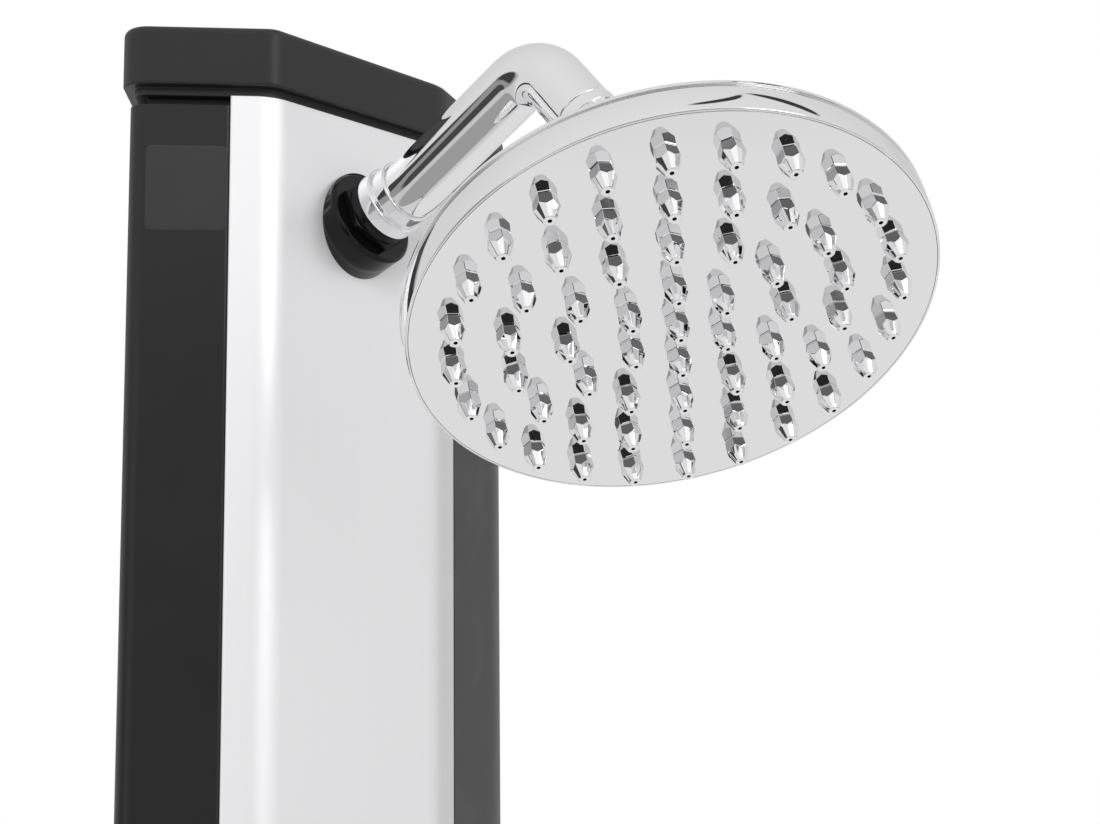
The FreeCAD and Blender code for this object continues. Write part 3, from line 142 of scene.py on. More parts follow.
def fillet(points: Numbers, radii: Numbers, steps: int = 6, hold: float = 0.2,
           closed: bool = False) -> tuple[Array, Array]:
    """Rounds the corners of a flat polyline.

    Each corner gives way to an arc tangent to both of its sides,
    p = centre + (sin((1-t)a) A + sin(ta) B) / sin a. One more point a short hold length before and
    after it, and inside an open line's ends, keeps the flats flat when they are shaded.

    Args:
        points: corner points, k rows of two.
        radii: one radius for each rounded corner: all when closed, and all but the ends when open.
        steps: points on each arc.
        hold: length of the held flats beside an arc.
        closed: whether the last point joins the first.

    Returns:
        The points, and unit normals that point away from the arcs' centres.
    """
    points = np.asarray(points, float)
    radii = np.asarray(radii, float)
    corner = points if closed else points[1:-1]
    before = np.roll(points, 1, 0) if closed else points[:-2]
    after = np.roll(points, -1, 0) if closed else points[2:]
    sides = np.stack([before, after]) - corner
    lengths = np.linalg.norm(sides, axis=-1)
    sides = unit(sides)
    half = np.arccos(np.clip((sides[0] * sides[1]).sum(1), -1, 1)) / 2
    reach = radii / np.tan(half)
    centre = corner + unit(sides.sum(0)) * (radii / np.sin(half))[:, None]
    neighbours = np.pad(reach, 1, mode="wrap" if closed else "constant")
    room = lengths - reach - np.stack([neighbours[:-2], neighbours[2:]])
    held = np.clip(HOLD_SHARE * room, LEAST_HOLD, hold)
    start, end = corner + sides * reach[:, None] - centre
    first, last = corner + sides * (reach + held)[..., None]
    turn = (np.pi - 2 * half)[:, None, None]
    t = np.linspace(0, 1, steps)[None, :, None]
    spoke = (np.sin((1 - t) * turn) * start[:, None] + np.sin(t * turn) * end[:, None]) / np.sin(turn)
    rows = np.concatenate([first[:, None], centre[:, None] + spoke, last[:, None]], axis=1).reshape(-1, 2)
    normals = unit(np.concatenate([start[:, None], spoke, end[:, None]], axis=1)).reshape(-1, 2)
    if not closed:
        tips = points[[0, -1]]
        inward = rows[[0, -1]] - tips
        near = tips + inward * np.minimum(HOLD_SHARE, hold / np.linalg.norm(inward, axis=1))[:, None]
        rows = np.concatenate([tips[:1], near[:1], rows, near[1:], tips[1:]])
        normals = np.pad(normals, ((2, 2), (0, 0)), mode="edge")
    return rows, normals


def ring_angles(sides: int) -> Array:
    """Evenly spaced angles round a full turn."""
    return np.linspace(0, 2 * np.pi, sides, endpoint=False)


def around(angle: Array) -> Array:
    """Points of the unit circle at angles, with (cos a, sin a) along a new last axis."""
    return np.stack([np.cos(angle), np.sin(angle)], axis=-1)


def polar(radius: Array, angle: Array, height: Array) -> Array:
    """A grid with x = r cos a, y = r sin a, z = h, from three that stretch to one shape."""
    radius, angle, height = np.broadcast_arrays(radius, angle, height)
    return np.stack([radius * np.cos(angle), radius * np.sin(angle), height], axis=-1)


def turned(profile: Array, sides: int = 96) -> Array:
    """Turns a profile, rows of (radius, height), about the local Z axis in a number of steps."""
    return polar(profile[:, :1], ring_angles(sides)[None], profile[:, 1:2])


def hexagon(flats: float, insets: Array, heights: Array) -> Array:
    """Rows of a hexagon whose corners are turned down, r = min(corner - inset, f / 2 / cos a).

    Args:
        flats: width across its flats.
        insets: how far each row's corners are turned down.
        heights: height of each row.

    Returns:
        A grid of local points, one row for each height.
    """
    angle = ring_angles(HEXAGON_STEPS)
    side = flats / 2 / np.cos(np.mod(angle, np.pi / 3) - np.pi / 6)
    limit = flats / np.sqrt(3) - insets
    return polar(np.minimum(limit[:, None], side[None]), angle[None], heights[:, None])


def carried(path: Array, side: Array, section: Array) -> Array:
    """Carries rows of (across, away) along a path with direction T, p = path + across S + away (T x S)."""
    away = np.cross(unit(np.gradient(path, axis=0)), side)
    return path[:, None] + section[None, :, :1] * side + section[None, :, 1:] * away[:, None]


# Meshes


@dataclass
class Patch:
    """A grid of points in metres and how it closes: round its rows or columns, or with flat ends."""

    grid: Array
    wrap_rows: bool = False
    wrap_columns: bool = True
    ends: bool = False


def round_patch(axes: Axes, corners: Numbers, rounds: Numbers, closed: bool = False, sides: int = 96,
                steps: int = 6) -> Patch:
    """A surface turned about a frame's Z from the corners (radius, height) and rounds of its profile."""
    profile, _ = fillet(corners, rounds, steps, closed=closed)
    return Patch(axes.place(turned(profile, sides)), wrap_rows=closed)


def grid_quads(rows: int, columns: int, wrap_rows: bool, wrap_columns: bool) -> Array:
    """Four-sided faces of a grid.

    Args:
        rows: number of rows.
        columns: number of columns.
        wrap_rows: whether the last row joins the first.
        wrap_columns: whether the last column joins the first.

    Returns:
        Point numbers, one face a row.
    """
    row = np.arange(rows if wrap_rows else rows - 1)[:, None]
    column = np.arange(columns if wrap_columns else columns - 1)[None]
    next_row = (row + 1) % rows
    next_column = (column + 1) % columns
    corners = [row * columns + column, row * columns + next_column,
               next_row * columns + next_column, next_row * columns + column]
    return np.stack(corners, axis=-1).reshape(-1, 4)


def mesh_from(name: str, patches: list[Patch], shading: Shading) -> bpy.types.Object:
    """Makes one object of several patches, with doubles merged and faces turned outwards.

    Args:
        name: the piece's name.
        patches: its surfaces.
        shading: smooth or faceted.

    Returns:
        The object, at the origin, linked into the scene.
    """
    points: list[Array] = []
    faces: list[list[int]] = []
    start = 0
    for patch in patches:
        rows, columns = patch.grid.shape[:2]
        faces += (grid_quads(rows, columns, patch.wrap_rows, patch.wrap_columns) + start).tolist()
        if patch.ends:
            first = np.arange(columns) + start
            faces += [first[::-1].tolist(), (first + (rows - 1) * columns).tolist()]
        points.append(patch.grid.reshape(-1, 3))
        start += rows * columns
    mesh = bpy.data.meshes.new(name)
    mesh.from_pydata(np.concatenate(points).tolist(), [], faces)
    return linked(name, mesh, shading)


def linked(name: str, mesh: bpy.types.Mesh, shading: Shading) -> bpy.types.Object:
    """Merges a mesh's doubles, turns its faces outwards and links it as an object.

    Args:
        name: the object's name.
        mesh: the mesh to finish.
        shading: smooth or faceted.

    Returns:
        The new object.
    """
    work = bmesh.new()
    work.from_mesh(mesh)
    bmesh.ops.remove_doubles(work, verts=work.verts, dist=MERGE)
    bmesh.ops.dissolve_degenerate(work, edges=work.edges, dist=MERGE / 10)
    bmesh.ops.recalc_face_normals(work, faces=work.faces)
    work.to_mesh(mesh)
    work.free()
    mesh.polygons.foreach_set("use_smooth", np.full(len(mesh.polygons), shading.value))
    mesh.update()
    piece = bpy.data.objects.new(name, mesh)
    bpy.context.scene.collection.objects.link(piece)
    return piece


def dressed(piece: bpy.types.Object, body: Body, nodes: list[str], slot: str, *finishes: "Finish") -> None:
    """Gives a piece its finish, from its slot when none is given, puts it on its body and hides the solids that it
    stands for.

    Args:
        piece: the object.
        body: the body that it rides on.
        nodes: solids that it replaces.
        slot: material slot of the record.
        finishes: its finishes in the order of its material numbers, or none for its slot's own.
    """
    for finish in finishes or (SOLID_FINISHES[slot],):
        piece.data.materials.append(finish.material())
    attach(piece, body.value)
    if nodes:
        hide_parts(*nodes)
    faces = len(piece.data.polygons)
    log.info("%s rides on %s, %d faces, stands for %s", piece.name, body.value, faces, nodes)


def add_piece(name: str, node: str, patches: list[Patch], body: Body = Body.COLUMN) -> None:
    """Makes a smooth piece that stands for one solid and wears the finish of that solid's slot."""
    dressed(mesh_from(name, patches, Shading.SMOOTH), body, [node], SLOTS[node])


# Shader helpers


class Graph:
    """Short hand for a node tree: adds nodes, sets their sockets and links them."""

    def __init__(self, tree: bpy.types.NodeTree) -> None:
        """Keeps the tree and clears it."""
        self.tree = tree
        tree.nodes.clear()

    def add(self, kind: str, inputs: dict | None = None, **settings: object) -> bpy.types.Node:
        """Adds a node.

        Args:
            kind: node type.
            inputs: values, or sockets to link, by input name or number.
            settings: properties of the node.

        Returns:
            The node.
        """
        node = self.tree.nodes.new(kind)
        for key, value in settings.items():
            setattr(node, key, value)
        self.feed(node, inputs or {})
        return node

    def feed(self, node: bpy.types.Node, inputs: dict) -> None:
        """Sets a node's inputs to values, or links sockets to them, by name or number."""
        for key, value in inputs.items():
            if isinstance(value, Socket):
                self.tree.links.new(value, node.inputs[key])
            else:
                node.inputs[key].default_value = value

    def math(self, operation: str, *values: object) -> Socket:
        """The result of a math node on numbers or sockets."""
        return self.add("ShaderNodeMath", dict(enumerate(values)), operation=operation).outputs[0]

    def remap(self, value: object, low: float, high: float, to_low: object, to_high: object) -> Socket:
        """A value moved from one range to another and clamped."""
        inputs = {"Value": value, "From Min": low, "From Max": high, "To Min": to_low, "To Max": to_high}
        return self.add("ShaderNodeMapRange", inputs).outputs[0]

    def fade(self, share: Socket, first: object, second: object) -> Socket:
        """A value between two by a share."""
        return self.remap(share, 0.0, 1.0, first, second)

    def dot(self, vector: Socket, axis: tuple[float, float, float]) -> Socket:
        """The part of a vector along an axis."""
        node = self.add("ShaderNodeVectorMath", {0: vector, 1: axis}, operation="DOT_PRODUCT")
        return node.outputs["Value"]

    def blend(self, share: object, first: object, second: object) -> Socket:
        """A colour mixed from two by a share."""
        node = self.add("ShaderNodeMix", {0: share, 6: first, 7: second}, data_type="RGBA")
        return node.outputs[2]

    def noise(self, vector: Socket, scale: object, detail: float, distortion: float = 0.0) -> Socket:
        """The height of a noise at a scale."""
        inputs = {"Vector": vector, "Scale": scale, "Detail": detail, "Distortion": distortion}
        return self.add("ShaderNodeTexNoise", inputs).outputs[0]


class Effect:
    """A shader node group that several finishes share, built the first time it is used."""

    name = "effect"
    wants: dict[str, float] = {}
    gives: tuple[str, ...] = ()

    def build(self, graph: Graph, source: bpy.types.Node) -> dict[str, Socket]:
        """Wires the group: takes its graph and input node, and returns its outputs by name."""
        raise NotImplementedError

    def group(self) -> bpy.types.NodeTree:
        """The group's tree, made once."""
        known = bpy.data.node_groups.get(self.name)
        if known:
            return known
        tree = bpy.data.node_groups.new(self.name, "ShaderNodeTree")
        tree.interface.new_socket("Vector", in_out="INPUT", socket_type="NodeSocketVector")
        for label, value in self.wants.items():
            socket = tree.interface.new_socket(label, in_out="INPUT", socket_type="NodeSocketFloat")
            socket.default_value = value
        for label in self.gives:
            tree.interface.new_socket(label, in_out="OUTPUT", socket_type="NodeSocketFloat")
        graph = Graph(tree)
        results = self.build(graph, graph.add("NodeGroupInput"))
        graph.add("NodeGroupOutput", results)
        return tree

    def use(self, graph: Graph, vector: Socket, **values: float) -> bpy.types.Node:
        """Places the group in a material's graph with its coordinates and values, and returns its node."""
        return graph.add("ShaderNodeGroup", {"Vector": vector} | self.wants | values, node_tree=self.group())


class Grain(Effect):
    """Fine moulded or sprayed texture: noise whose cell size is given in metres."""

    name = "surface_grain"
    wants = {"Cell": 0.0005}
    gives = ("Height", "Tone")
    broad_share = 0.02

    def build(self, graph: Graph, source: bpy.types.Node) -> dict[str, Socket]:
        """Height is fine noise, and tone is a noise fifty times as broad, both from 0 to 1."""
        place = source.outputs["Vector"]
        scale = graph.math("DIVIDE", 1.0, source.outputs["Cell"])
        broad_scale = graph.math("MULTIPLY", scale, self.broad_share)
        return {"Height": graph.noise(place, scale, detail=2.0),
                "Tone": graph.noise(place, broad_scale, detail=3.0)}


class Brushed(Effect):
    """Straight fine lines along the local Z axis: noise drawn out in one direction."""

    name = "brushed_lines"
    wants = {"Width": 0.0003, "Length": 0.2}
    gives = ("Lines", "Drift")
    drift_scale = 0.1

    def build(self, graph: Graph, source: bpy.types.Node) -> dict[str, Socket]:
        """Lines are noise at p / (width, width, length), and drift is the same ten times as broad."""
        across = graph.math("DIVIDE", 1.0, source.outputs["Width"])
        along = graph.math("DIVIDE", 1.0, source.outputs["Length"])
        scale = graph.add("ShaderNodeCombineXYZ", {0: across, 1: across, 2: along}).outputs[0]
        inputs = {0: source.outputs["Vector"], 1: scale}
        drawn = graph.add("ShaderNodeVectorMath", inputs, operation="MULTIPLY").outputs[0]
        return {"Lines": graph.noise(drawn, 1.0, detail=3.0),
                "Drift": graph.noise(drawn, self.drift_scale, detail=2.0)}


class Handling(Effect):
    """Soft cloudy marks from wiping and drying, as a mask from 0 to 1."""

    name = "handling_marks"
    wants = {"Patch": 0.03, "Cover": 0.4}
    gives = ("Mask", "Specks")
    soft_edge = (-0.15, 0.25)
    specks_per_patch = 14.0
    speck_edge = (0.05, 0.12)

    def build(self, graph: Graph, source: bpy.types.Node) -> dict[str, Socket]:
        """Mask is thresholded cloud noise, and specks are small cells where dust settles."""
        place = source.outputs["Vector"]
        scale = graph.math("DIVIDE", 1.0, source.outputs["Patch"])
        cloud = graph.noise(place, scale, detail=4.0, distortion=0.6)
        edge = graph.math("SUBTRACT", 1.0, source.outputs["Cover"])
        mask = graph.remap(graph.math("SUBTRACT", cloud, edge), *self.soft_edge, 0.0, 1.0)
        cell_scale = graph.math("MULTIPLY", scale, self.specks_per_patch)
        cells = graph.add("ShaderNodeTexVoronoi", {"Vector": place, "Scale": cell_scale})
        specks = graph.remap(cells.outputs["Distance"], *self.speck_edge, 1.0, 0.0)
        return {"Mask": mask, "Specks": graph.math("MULTIPLY", specks, mask)}


GRAIN = Grain()
BRUSHED = Brushed()
HANDLING = Handling()


# Finishes


@dataclass(frozen=True)
class Finish:
    """Base of all finishes: a name, a colour and a roughness."""

    name: str
    colour: Colour
    roughness: float

    def material(self) -> bpy.types.Material:
        """The finish's material, made once."""
        known = bpy.data.materials.get(self.name)
        if known:
            return known
        made = bpy.data.materials.new(self.name)
        made.use_nodes = True
        graph = Graph(made.node_tree)
        shader = graph.add("ShaderNodeBsdfPrincipled")
        graph.add("ShaderNodeOutputMaterial", {"Surface": shader.outputs[0]})
        place = graph.add("ShaderNodeTexCoord").outputs["Object"]
        graph.feed(shader, self.wire(graph, place))
        return made

    def wire(self, graph: Graph, place: Socket) -> dict[str, object]:
        """Wires the pattern and returns the shader's inputs. Each finish has its own."""
        raise NotImplementedError

    def shade(self, factor: float) -> tuple[float, float, float, float]:
        """The finish's colour times a factor, with full alpha."""
        return tuple(min(1.0, channel * factor) for channel in self.colour) + (1.0,)

    def clouded(self, graph: Graph, share: Socket, tone: float) -> Socket:
        """The finish's colour, from a tone darker to a tone lighter by a share."""
        return graph.blend(share, self.shade(1 - tone), self.shade(1 + tone))

    def bump(self, graph: Graph, height: Socket, depth: float) -> Socket:
        """A normal bent by a height, as a bump of a depth in metres."""
        return graph.add("ShaderNodeBump", {"Height": height, "Strength": 1.0, "Distance": depth}).outputs[0]


@dataclass(frozen=True)
class Moulded(Finish):
    """Plastic or paint with a fine texture, cloudy tone and faint wiping marks."""

    cell: float = 0.0006
    depth: float = 0.00002
    tone: float = 0.12
    polish: float = 0.08
    specular: float = 0.5
    mark_cells: float = 60.0

    def wire(self, graph: Graph, place: Socket) -> dict[str, object]:
        """Colour drifts with broad noise, roughness with wiping marks, and the grain is a bump."""
        grain = GRAIN.use(graph, place, Cell=self.cell)
        mask = HANDLING.use(graph, place, Patch=self.mark_cells * self.cell).outputs["Mask"]
        dull, polished = self.roughness + self.polish / 2, self.roughness - self.polish / 2
        return {
            "Base Color": self.clouded(graph, grain.outputs["Tone"], self.tone),
            "Roughness": graph.fade(mask, dull, polished),
            "Specular IOR Level": self.specular,
            "Normal": self.bump(graph, grain.outputs["Height"], self.depth)}


@dataclass(frozen=True)
class Plated(Finish):
    """Polished plating: a mirror with a slight waviness and thin drying marks."""

    wave: float = 0.02
    depth: float = 0.00002
    marks: float = 0.03
    mark_size: float = 0.02
    mark_cover: float = 0.45
    speck_tone: float = 0.97

    def wire(self, graph: Graph, place: Socket) -> dict[str, object]:
        """Roughness rises a little in drying marks, and a broad low bump bends the reflections."""
        wave = GRAIN.use(graph, place, Cell=self.wave)
        marks = HANDLING.use(graph, place, Patch=self.mark_size, Cover=self.mark_cover)
        return {
            "Metallic": 1.0,
            "Base Color": graph.blend(marks.outputs["Specks"], self.shade(1.0), self.shade(self.speck_tone)),
            "Roughness": graph.fade(marks.outputs["Mask"], self.roughness, self.roughness + self.marks),
            "Normal": self.bump(graph, wave.outputs["Height"], self.depth)}


@dataclass(frozen=True)
class Satin(Finish):
    """Satin metal with fine drawn lines and a faint cloudiness."""

    width: float = 0.00025
    length: float = 0.12
    depth: float = 0.000004
    tone: float = 0.02
    metallic: float = 1.0
    line_share: float = 0.7
    mark_size: float = 0.08
    polish: float = 0.02
    dulling: float = 0.03

    def wire(self, graph: Graph, place: Socket) -> dict[str, object]:
        """Lines move the colour a little and make a shallow bump, and marks move the roughness."""
        lines = BRUSHED.use(graph, place, Width=self.width, Length=self.length)
        mask = HANDLING.use(graph, place, Patch=self.mark_size).outputs["Mask"]
        slow = graph.math("MULTIPLY", lines.outputs["Drift"], 1 - self.line_share)
        drift = graph.math("MULTIPLY_ADD", lines.outputs["Lines"], self.line_share, slow)
        return {
            "Metallic": self.metallic,
            "Base Color": self.clouded(graph, drift, self.tone),
            "Roughness": graph.fade(mask, self.roughness - self.polish, self.roughness + self.dulling),
            "Normal": self.bump(graph, lines.outputs["Lines"], self.depth)}


@dataclass(frozen=True)
class RawMetal(Finish):
    """Unplated metal, darker and duller where it has tarnished."""

    tarnish: Colour = (0.35, 0.22, 0.1)
    cell: float = 0.0004
    depth: float = 0.00001
    mark_size: float = 0.015
    mark_cover: float = 0.45
    dulling: float = 0.2

    def wire(self, graph: Graph, place: Socket) -> dict[str, object]:
        """Tarnish follows the handling mask in colour and in roughness."""
        mask = HANDLING.use(graph, place, Patch=self.mark_size, Cover=self.mark_cover).outputs["Mask"]
        grain = GRAIN.use(graph, place, Cell=self.cell)
        return {
            "Metallic": 1.0,
            "Base Color": graph.blend(mask, self.shade(1.0), self.tarnish + (1.0,)),
            "Roughness": graph.fade(mask, self.roughness, self.roughness + self.dulling),
            "Normal": self.bump(graph, grain.outputs["Height"], self.depth)}


BLACK_PANEL = Moulded("black_panel_satin", (0.009, 0.009, 0.0092), 0.36, cell=0.0004, depth=0.000006)
BLACK_CAP = Moulded("black_cap_moulded", (0.012, 0.012, 0.012), 0.42, cell=0.0007, depth=0.00002)
BLACK_GLOSS = Moulded("black_gloss_ring", (0.004, 0.004, 0.0043), 0.16, cell=0.0008, depth=0.000004,
                      specular=0.25)
POWDER_COAT = Moulded("black_powder_coat", (0.014, 0.014, 0.014), 0.5, cell=0.0012, depth=0.00004)
BLANK_FILM = Moulded("blank_film", (0.022, 0.022, 0.022), 0.3, cell=0.0005, depth=0.000004)
BARE_RUBBER = Moulded("bare_rubber", (0.02, 0.02, 0.021), 0.7, cell=0.0009, depth=0.00003)
TANK_BLACK = Moulded("tank_black", (0.02, 0.02, 0.02), 0.55, cell=0.0015, depth=0.00004)
PIPE_GREY = Moulded("pipe_grey", (0.5, 0.53, 0.57), 0.4, cell=0.001, tone=0.05)
SEAT_WHITE = Moulded("seat_white", (0.78, 0.77, 0.73), 0.35, cell=0.0008, tone=0.04)
# Painted shade: a near-black, barely reflecting finish for the inside of the nozzles' bores, standing in for the
# shade deep in the holes
BORE_PAINTED_SHADE = Moulded("bore_painted_shade", (0.004, 0.004, 0.004), 0.8, specular=0.1)
CHROME = Plated("mirror_chrome", (0.93, 0.93, 0.94), 0.025)
ALUMINIUM = Satin("satin_aluminium", (0.945, 0.935, 0.95), 0.42, metallic=0.5)
STEEL = Satin("drawn_steel", (0.55, 0.55, 0.56), 0.3, width=0.0003, length=0.01)
BRASS = RawMetal("raw_brass", (0.74, 0.53, 0.25), 0.25)

SOLID_FINISHES: dict[str, Finish] = {
    "black_steel": POWDER_COAT,
    "black_shell": BLACK_PANEL,
    "black_cap": BLACK_CAP,
    "black_plastic": BLACK_CAP,
    "black_gloss": BLACK_GLOSS,
    "tank_plastic": TANK_BLACK,
    "pipe_plastic": PIPE_GREY,
    "ceramic": SEAT_WHITE,
    "aluminium": ALUMINIUM,
    "chrome": CHROME,
    "steel": STEEL,
    "brass": BRASS,
    "rubber": BARE_RUBBER,
}


# Column


def heading(angle: float) -> Array:
    """Level unit vector of two numbers at an angle in degrees from +X."""
    return around(np.radians(angle))


@dataclass
class Section:
    """Plan of the column: faces walked from the front bend, and a round at each corner."""

    front_bend: tuple[float, float] = (-15.0, -82.0)
    front_width: float = 46.0
    chamfer_width: float = 76.6
    chamfer_heading: float = 45.0
    side_width: float = 74.7
    side_heading: float = 68.0
    taper_width: float = 41.8
    taper_heading: float = 100.0
    left_round: float = 6.0
    front_round: float = 15.0
    side_round: float = 20.0
    taper_round: float = 60.0
    back_round: float = 25.0
    front_strip: float = 13.5
    side_strip: float = 16.5
    seam: float = 0.3
    arc_steps: int = 22
    hold: float = 1.0

    def __post_init__(self) -> None:
        """Works out the corner points."""
        self.bend = np.array(self.front_bend)
        self.left = self.bend - [self.front_width, 0]
        self.side = self.bend + heading(self.chamfer_heading) * self.chamfer_width
        self.taper = self.side + heading(self.side_heading) * self.side_width
        self.back = self.taper + heading(self.taper_heading) * self.taper_width
        self.back_left = np.array([self.left[0], self.back[1]])

    def line(self, corners: list[Array], rounds: list[float], closed: bool = False) -> tuple[Array, Array]:
        """Points and outward normals of a rounded line in plan."""
        return fillet(corners, rounds, self.arc_steps, self.hold, closed)

    def whole(self, front_round: float) -> tuple[Array, Array]:
        """The whole outline, with a radius for its front bend."""
        corners = [self.left, self.bend, self.side, self.taper, self.back, self.back_left]
        back_rounds = [self.taper_round, self.back_round, self.back_round]
        return self.line(corners, [self.left_round, front_round, self.side_round] + back_rounds, closed=True)

    def front(self) -> tuple[Array, Array]:
        """The line of the aluminium front, from its front edge to its side edge."""
        start = self.bend - [self.front_strip, 0]
        end = self.side + heading(self.side_heading) * self.side_strip
        return self.line([start, self.bend, self.side, end], [self.front_round, self.side_round])

    def rest(self) -> tuple[Array, Array]:
        """The line of the black wall, from the side seam round the back to the front seam."""
        start = self.side + heading(self.side_heading) * (self.side_strip + self.seam)
        end = self.bend - [self.front_strip + self.seam, 0]
        rounds = [self.taper_round, self.back_round, self.back_round, self.left_round]
        return self.line([start, self.taper, self.back, self.back_left, self.left, end], rounds)


def along_outline(outline: tuple[Array, Array], profile: Array) -> Array:
    """Carries an upright profile along a level outline.

    Args:
        outline: points and outward normals, in millimetres.
        profile: rows of (inset, height) in millimetres.

    Returns:
        A grid in metres, one row for each point of the outline: p = point - inset n, z = height.
    """
    points, normals = outline
    inset, height = profile[None, :, :1], profile[None, :, 1:2]
    level = points[:, None] - inset * normals[:, None]
    return MM * np.concatenate([level, np.broadcast_to(height, level.shape[:2] + (1,))], axis=-1)


@dataclass
class Column:
    """Aluminium front, black wall, cap, film patch and shoe.

    The film's layers give its rise and its size in plan, as shares of the whole.
    """

    section: Section = field(default_factory=Section)
    sheet: float = 2.0
    wall: float = 3.0
    edge: float = 0.3
    neck_inset: float = 1.2
    neck_height: float = 2.75
    plug_inset: float = 5.4
    plug_depth: float = 18.0
    overhang: float = 2.5
    cap_height: float = 19.7
    cap_round: float = 2.5
    cap_lip: float = 0.8
    cap_bend: float = 8.0
    roof_inset: float = 1.5
    film_drop: float = 16.8
    film_height: float = 28.2
    film_thickness: float = 0.15
    film_margin: float = 0.4
    film_corner: float = 2.0
    film_layers: tuple[tuple[float, float], ...] = ((0.0, 1.0), (0.5, 1.0), (1.0, 0.99), (1.0, 0.95))
    shoe_gap: float = 0.3
    shoe_wall: float = 3.0
    shoe_toe: float = 9.0
    shoe_toe_height: float = 5.0
    shoe_rounds: tuple[float, ...] = (0.3, 0.8, 1.2, 2.5, 1.5, 0.3)

    def build(self) -> None:
        """Builds and dresses every outer piece of the column."""
        self.build_wall("aluminium_skin", "aluminium_front", self.section.front(), self.sheet)
        self.build_wall("black_wall", "black_shell", self.section.rest(), self.wall)
        self.build_cap()
        self.build_film()
        self.build_shoe()

    def build_wall(self, name: str, node: str, outline: tuple[Array, Array], thick: float) -> None:
        """Builds one upright wall: a rounded rectangle of its thickness and height along its outline.

        Args:
            name: the piece's name.
            node: the solid that it stands for, which gives its height.
            outline: its line in plan.
            thick: its thickness.
        """
        low, high = levels(node)
        corners = [(0, low), (0, high), (thick, high), (thick, low)]
        profile, _ = fillet(corners, [self.edge] * 4, closed=True)
        add_piece(name, node, [Patch(along_outline(outline, profile), ends=True)])

    def build_cap(self) -> None:
        """Builds the cap: plug, recessed neck, overhanging skirt and roof in one profile round the column.

        The hood has a tighter front bend than the neck, so each row is blended from both outlines.
        """
        _, top = levels("aluminium_front")
        skirt = top + self.neck_height
        roof = skirt + self.cap_height
        corners = [
            (self.plug_inset, top - self.plug_depth), (self.plug_inset, top),
            (self.neck_inset, top), (self.neck_inset, skirt),
            (-self.overhang, skirt), (-self.overhang, roof), (self.roof_inset, roof)]
        profile, _ = fillet(corners, [self.edge, self.edge, self.edge, self.cap_lip, self.cap_round])
        neck = along_outline(self.section.whole(self.section.front_round), profile)
        hood = along_outline(self.section.whole(self.cap_bend - self.overhang), profile)
        share = np.clip((self.neck_inset - profile[:, 0]) / (self.neck_inset + self.overhang), 0, 1)
        share = np.where(profile[:, 1] > skirt + self.cap_lip, 1.0, share)[None, :, None]
        grid = (neck + (hood - neck) * share).swapaxes(0, 1)
        add_piece("cap_hood", "top_cap", [Patch(grid, ends=True)])

    def build_film(self) -> None:
        """Builds the blank film on the black front face, a thin slab with rounded corners."""
        high = levels("aluminium_front")[1] - self.film_drop
        low = high - self.film_height
        right = self.section.bend[0] - self.section.front_strip - self.section.seam - self.film_margin
        left = self.section.left[0] + self.section.left_round
        corners = [(left, low), (right, low), (right, high), (left, high)]
        outline, _ = fillet(corners, [self.film_corner] * 4, closed=True)
        centre = outline.mean(0)
        face = self.section.bend[1]
        rows = [np.insert(centre + (outline - centre) * size, 1, face - rise * self.film_thickness, axis=1)
                for rise, size in self.film_layers]
        piece = mesh_from("blank_film", [Patch(MM * np.stack(rows), ends=True)], Shading.SMOOTH)
        dressed(piece, Body.COLUMN, [], "black_shell", BLANK_FILM)

    def build_shoe(self) -> None:
        """Builds the moulded shoe: a closed profile with a low toe, carried round the column's foot."""
        low, high = levels("base_shoe")
        outer = -(self.shoe_gap + self.shoe_wall)
        toe = low + self.shoe_toe_height
        corners = [
            (-self.shoe_gap, low), (-self.shoe_gap, high), (outer, high), (outer, toe), (-self.shoe_toe, toe),
            (-self.shoe_toe, low)]
        profile, _ = fillet(corners, self.shoe_rounds, closed=True)
        grid = along_outline(self.section.whole(self.section.front_round), profile).swapaxes(0, 1)
        add_piece("foot_shoe", "base_shoe", [Patch(grid, wrap_rows=True)])


# Arm


def chamfer_axes(height: float) -> Axes:
    """Frame on the chamfer's face at a height in metres: Z out of the face, X up."""
    place = joint_place("mixer_temperature")
    return Axes(np.array([place[0], place[1], height]), joint_axis("mixer_temperature"), UP)


